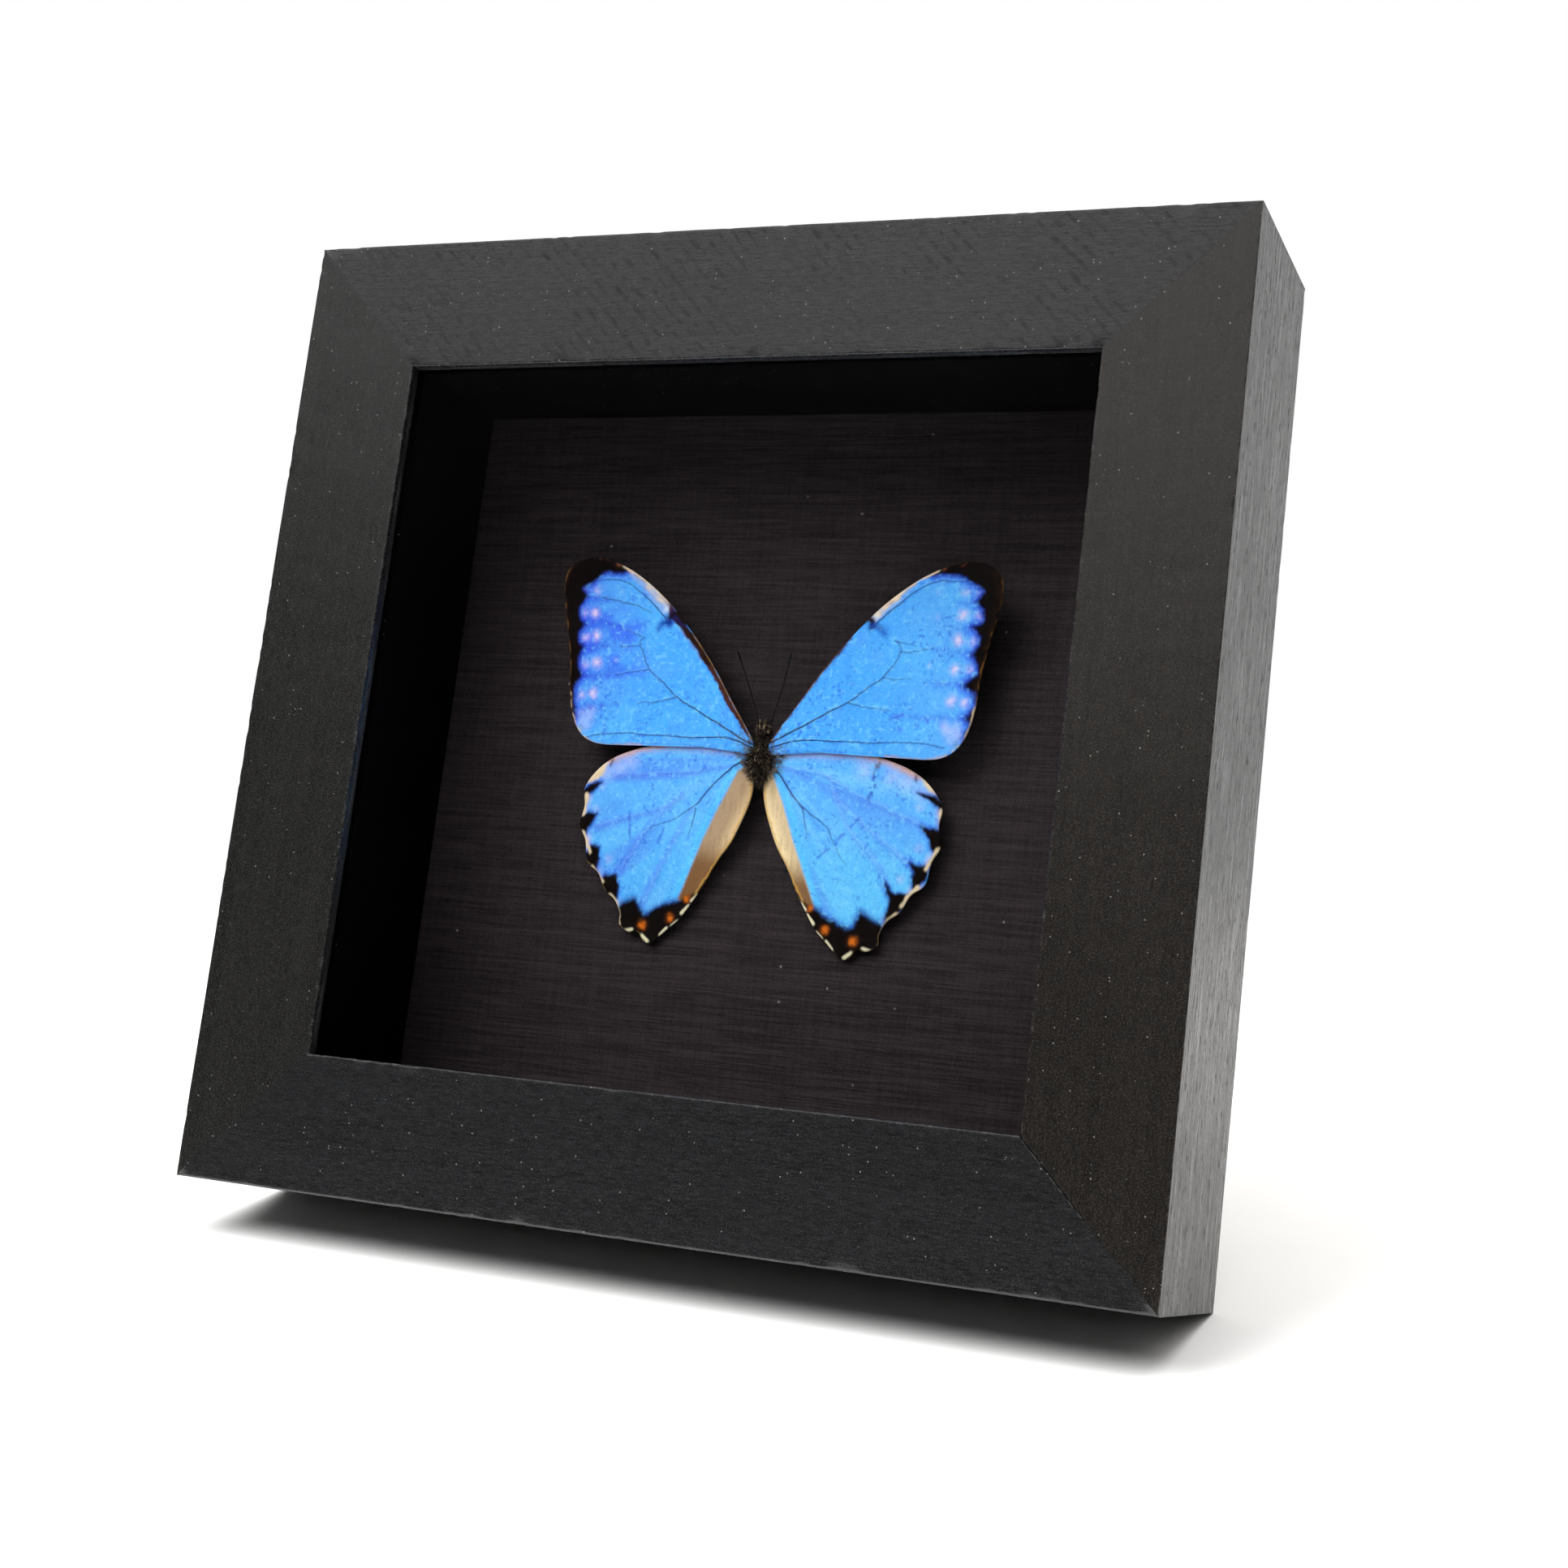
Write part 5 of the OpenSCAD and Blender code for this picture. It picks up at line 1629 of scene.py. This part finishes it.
    def build(self, tube: Growth, scales: bpy.types.Material, rib: bpy.types.Material) -> None:
        """Builds the wing's skin and its veins.

        Args:
            tube: The tree that puts tubes along lines.
            scales: The finish of the skin.
            rib: The finish of the veins.
        """
        skin = new_piece(f"{self.node}_skin", self.mesh(), scales)
        stand_for(skin, "case", "blue_wing", self.node)
        paths, widths = [], []
        for path, width, end in self.marks.veins:
            curve = smooth_path(path, 8)
            y = self.plane - self.thick / 2 - self.relief(curve) * 0.7 + 0.015
            paths.append([(c[0] * self.side.value, h, c[1]) for c, h in zip(curve, y)])
            widths.append(np.linspace(width, end, len(curve)))
        lines = thick_lines(f"{self.node}_lines", paths, widths)
        veins = tube.run(f"{self.node}_veins", lines, Sides=8, Thickness=MM * 0.65, Material=rib)
        stand_for(veins, "case", "blue_wing")


FOREWING_EDGE = (
    (1.4, 1.2), (2.6, 3.2), (5.7, 7.6), (9.1, 12.6), (13.2, 17.7), (17.7, 22.4), (22.3, 26), (26.3, 28.2),
    (30.4, 29.4), (33.4, 29.3), (35.8, 27.9), (36.6, 25.5), (36.2, 21.9), (35.2, 17.5), (34.3, 12.6),
    (33.9, 8.3), (33.2, 4.9), (32, 2.3), (30, 0.5), (26.8, -0.2), (20.3, 0), (12.2, 0.2), (5.1, -0.3),
    (1.4, -0.6))
HINDWING_EDGE = (
    (1.4, -1.2), (2.4, 0.6), (9.1, 1.3), (16.2, 0.6), (22, -0.9), (25.8, -2.6), (28.4, -4.9), (29.8, -7.4),
    (29.5, -9.9), (30, -13), (28.8, -15.4), (28.1, -18.7), (26, -20.4), (24.6, -22.9), (22.7, -24.4),
    (21.6, -26.3), (21.4, -28.2), (19.6, -29.2), (18.2, -29), (17.1, -30.4), (15.8, -30.6), (14.4, -29.4),
    (13, -28.1), (11.3, -26.5), (9.5, -23.9), (7.7, -21), (5.7, -17.3), (3.8, -14.4), (2.3, -11.1),
    (1.2, -8), (0.8, -5.4), (1, -3.6))
FORE_ROOT = (1.5, 0.3)
HIND_ROOT = (1.7, -1.5)


@dataclass(frozen=True)
class Butterfly:
    """The spread butterfly on its cork block, with its head's and antennae's sizes in millimetres."""

    head_z: float = 2.98
    head_y: float = 0.65
    head_r: float = 1.1
    bend_r: float = 34.0
    antenna_len: float = 13.0
    antenna_points: int = 180
    antenna_rings: int = 44
    splay: float = 18.0
    hair: float = 0.055

    def antenna(self, side: Side, tube: Growth, chitin: bpy.types.Material) -> None:
        """Builds an antenna with its rings and its club.

        Args:
            side: Which side it is on.
            tube: The tree that puts tubes along lines.
            chitin: Its finish.
        """
        arc = Matrix.Translation((side.value * self.head_r * 0.55, self.head_y, self.head_z))
        arc = arc @ Matrix.Rotation(math.radians(self.splay * side.value), 4, "Y")
        arc = arc @ Matrix.Rotation(math.radians(2), 4, "X")
        r = self.bend_r
        angle = np.linspace(0.006, 1, self.antenna_points) * (self.antenna_len / r)
        points = [(arc @ Vector((0, -r + r * math.cos(a), r * math.sin(a))))[:] for a in angle]
        run = np.linspace(0, 1, self.antenna_points)
        rings = 1 + 0.07 * np.cos(run * math.pi * 2 * self.antenna_rings)
        club = 0.15 + 0.1 * soft_step((run - 0.8) / 0.1)
        club *= np.sqrt(np.clip((1.004 - run) / 0.03, 0, 1))
        name = f"antenna_{side.name.lower()}"
        lines = thick_lines(f"{name}_line", [points], [rings * club])
        piece = tube.run(f"{name}_ringed", lines, Sides=10, Thickness=MM, Material=chitin)
        stand_for(piece, "case", "dark_chitin", name)

    def coat(self, hair: Growth, name: str, node: str, material: bpy.types.Material, **values: Any) -> None:
        """Grows a coat of hair on a node.

        Args:
            hair: The tree that grows hair.
            name: The new piece's name.
            node: The CAD node it grows on.
            material: The hair's finish.
            **values: The tree's sizes that differ from the thorax's, with the length in millimetres.
        """
        base = bpy.data.meshes.new(f"{name}_base")
        with cad_copy(node) as work:
            work.to_mesh(base)
        sizes: dict[str, Any] = {"Density": 3.0e7, "Length": 1.3, "Spread": 0.85,
                                 "Comb": (0, -0.05, -0.25), **values}
        sizes["Length"] *= MM
        piece = hair.run(name, base, Thickness=self.hair * MM, Material=material, **sizes)
        stand_for(piece, "case", "dark_hair")

    def tufts(self, hair: Growth, material: bpy.types.Material) -> None:
        """Grows the golden tufts where the wings leave the body."""
        loops = (((1.5, 1.6), (3.6, 2.9), (4.4, 1.7), (1.7, 0.2)),
                 ((1.5, 0.3), (4.2, 0.9), (4.4, -0.8), (1.5, -1.2)),
                 ((1.3, -1.3), (3.4, -1.2), (3.0, -3.2), (1.2, -3.4)))
        for side in Side:
            points = [(x * side.value, -0.12, z) for loop in loops for x, z in loop]
            faces = [tuple(range(k, k + 4))[::side.value] for k in (0, 4, 8)]
            patch = bpy.data.meshes.new("tuft_patch")
            patch.from_pydata(points, [], faces)
            patch.transform(SPECIMEN.matrix())
            tuft = hair.run(f"wing_root_tuft_{side.name.lower()}", patch, Density=1.5e7, Length=1.7 * MM,
                            Thickness=self.hair * MM, Spread=0.55, Comb=(0.9 * side.value, -0.1, 0.1),
                            Seed=5 + side.value, Material=material)
            stand_for(tuft, "case", "dark_hair")

    def build(self, tube: Growth, hair: Growth) -> None:
        """Builds and dresses the butterfly."""
        scales, rib = WingScales().make(), WingRib().make()
        for wing in (Wing("forewing_left", Side.LEFT, FOREWING_LEFT, FOREWING_EDGE, FORE_ROOT, 0.0),
                     Wing("forewing_right", Side.RIGHT, FOREWING_RIGHT, FOREWING_EDGE, FORE_ROOT, 0.0),
                     Wing("hindwing_left", Side.LEFT, HINDWING_LEFT, HINDWING_EDGE, HIND_ROOT, 0.5),
                     Wing("hindwing_right", Side.RIGHT, HINDWING_RIGHT, HINDWING_EDGE, HIND_ROOT, 0.5)):
            wing.build(tube, scales, rib)
        skin = Fuzz("body_skin", ink(14, 11, 10), ink(44, 34, 26), 0.5, 3.0, 0.7).make()
        for node in ("thorax", "head"):
            dress(node, skin)
        dress("eyes", FacetedEye().make())
        dress("palps", Fuzz("palp_scales", ink(40, 31, 25), ink(150, 130, 100), 0.5, 1.6).make())
        dress("specimen_block", Cork().make())
        chitin = Fuzz("antenna_chitin", ink(8, 6, 5), ink(30, 22, 17), 0.55, 1.2, 0.4).make()
        for side in Side:
            self.antenna(side, tube, chitin)
        black = Fuzz("black_hair", ink(14, 11, 10), ink(84, 70, 62), 0.55, 1.5, 0.5).make()
        gold = Fuzz("gold_hair", ink(66, 54, 48), ink(206, 180, 148), 0.54, 1.6, 0.5).make()
        forward = (0, -0.1, 0.2)
        self.coat(hair, "thorax_hair", "thorax", black, Seed=3)
        self.coat(hair, "thorax_gold_hair", "thorax", gold, Density=1.5e7, Length=1.45, Seed=8)
        self.coat(hair, "head_hair", "head", black, Length=0.6, Comb=forward, Seed=4)
        self.coat(hair, "head_gold_hair", "head", gold, Density=1.4e7, Length=0.65, Comb=forward, Seed=9)
        self.tufts(hair, gold)


@dataclass(frozen=True)
class Studio:
    """The white table, the soft lamps and the camera, in metres."""

    floor_size: float = 3.0
    camera_at: tuple[float, float, float] = (0.14502, -0.31791, 0.10386)
    ahead: tuple[float, float, float] = (-0.3999, 0.9111, -0.1004)
    upward: tuple[float, float, float] = (-0.0492, 0.0880, 0.9949)
    lens: float = 52.71
    target: tuple[float, float, float] = (0.0, 0.0, 0.07)

    def floor(self) -> None:
        """Lays the white table, which fades into the white around it."""
        material, b = new_material("white_table")
        here = b.add("ShaderNodeTexCoord", out="Object")
        from_middle = b.add("ShaderNodeVectorMath", {0: here, 1: (0.02, 0.03, 0)}, {"operation": "SUBTRACT"})
        far = b.add("ShaderNodeVectorMath", {0: from_middle}, {"operation": "LENGTH"}, "Value")
        colour = b.blend(b.noise(here, 60.0, 4).fade(0.3, 0.7), ink(250, 250, 249), ink(252, 252, 252))
        paper = b.add("ShaderNodeBsdfDiffuse", {"Color": colour})
        clear = b.add("ShaderNodeBsdfTransparent")
        both = b.add("ShaderNodeMixShader", {0: far.fade(0.22, 0.45), 1: paper, 2: clear})
        b.add("ShaderNodeOutputMaterial", {"Surface": both})
        s = self.floor_size / 2
        mesh = bpy.data.meshes.new("white_table")
        mesh.from_pydata([(-s, -s, 0), (s, -s, 0), (s, s, 0), (-s, s, 0)], [], [(0, 1, 2, 3)])
        new_piece("white_table", mesh, material)

    def surroundings(self) -> None:
        """Sets the white room, which mirrors show dark in front."""
        world = bpy.data.worlds.new("white_room")
        bpy.context.scene.world = world
        world.use_nodes = True
        world.node_tree.nodes.clear()
        b = Bench(world.node_tree)
        path = b.add("ShaderNodeLightPath", out="Is Camera Ray")
        mirrored = b.other(path, "Is Glossy Ray")
        seen = (path + mirrored + b.other(path, "Is Transmission Ray")).lower(1.0)
        _, y, z = b.split(b.add("ShaderNodeTexCoord", out="Generated"))
        bright = (y.fade(0.0, 0.5) + z.fade(0.5, 1.0)).lower(1.0)
        light = b.blend(bright, (0.02, 0.02, 0.02, 1), (1, 0.98, 0.95, 1))
        dim = b.add("ShaderNodeBackground", {"Color": light, "Strength": 1.1})
        front = 1 - (y.fade(-0.2, 0.4) + z.fade(0.37, 0.62)).lower(1.0)
        shown = b.blend(mirrored * front, (1, 1, 1, 1), (0.03, 0.03, 0.03, 1))
        white = b.add("ShaderNodeBackground", {"Color": shown, "Strength": 1.0})
        b.add("ShaderNodeOutputWorld", {"Surface": b.add("ShaderNodeMixShader", {0: seen, 1: dim, 2: white})})

    def lamp(self, name: str, at: tuple[float, float, float], size: float, power: float) -> None:
        """Hangs a round soft lamp that points at the case.

        Args:
            name: Its name.
            at: Its place.
            size: Its width.
            power: Its power in watts.
        """
        lamp = bpy.data.lights.new(name, "AREA")
        lamp.shape, lamp.size, lamp.energy = "DISK", size, power
        holder = bpy.data.objects.new(name, lamp)
        holder.location = at
        holder.rotation_euler = (Vector(at) - Vector(self.target)).to_track_quat("Z", "Y").to_euler()
        holder.visible_glossy = False
        bpy.context.scene.collection.objects.link(holder)

    def camera(self) -> None:
        """Sets the camera where the photograph was taken."""
        lens = bpy.data.cameras.new("camera")
        lens.sensor_width, lens.lens, lens.clip_start = 36.0, self.lens, 0.01
        holder = bpy.data.objects.new("camera", lens)
        ahead = Vector(self.ahead).normalized()
        right = ahead.cross(Vector(self.upward)).normalized()
        turn = Matrix((right, right.cross(ahead), -ahead)).transposed()
        holder.matrix_world = Matrix.Translation(self.camera_at) @ turn.to_4x4()
        bpy.context.scene.collection.objects.link(holder)
        bpy.context.scene.camera = holder

    def build(self) -> None:
        """Builds the studio."""
        self.floor()
        self.surroundings()
        self.lamp("window", (-0.46, -0.50, 0.85), 0.8, 13.0)
        self.lamp("ceiling", (0.1, 0.0, 1.1), 0.9, 6.5)
        self.camera()
        bpy.context.scene.view_settings.view_transform = "Standard"


def main() -> None:
    """Builds every part of the framed butterfly and its studio."""
    logging.basicConfig(level=logging.INFO, format="%(message)s")
    tube, hair, fastener = tube_growth(), hair_growth(), fastener_growth()
    Studio().build()
    RailFrame().build(fastener)
    GlazedBox().build()
    BackHardware().build(fastener)
    Easel().build(fastener)
    Butterfly().build(tube, hair)


if __name__ == "__main__":
    main()
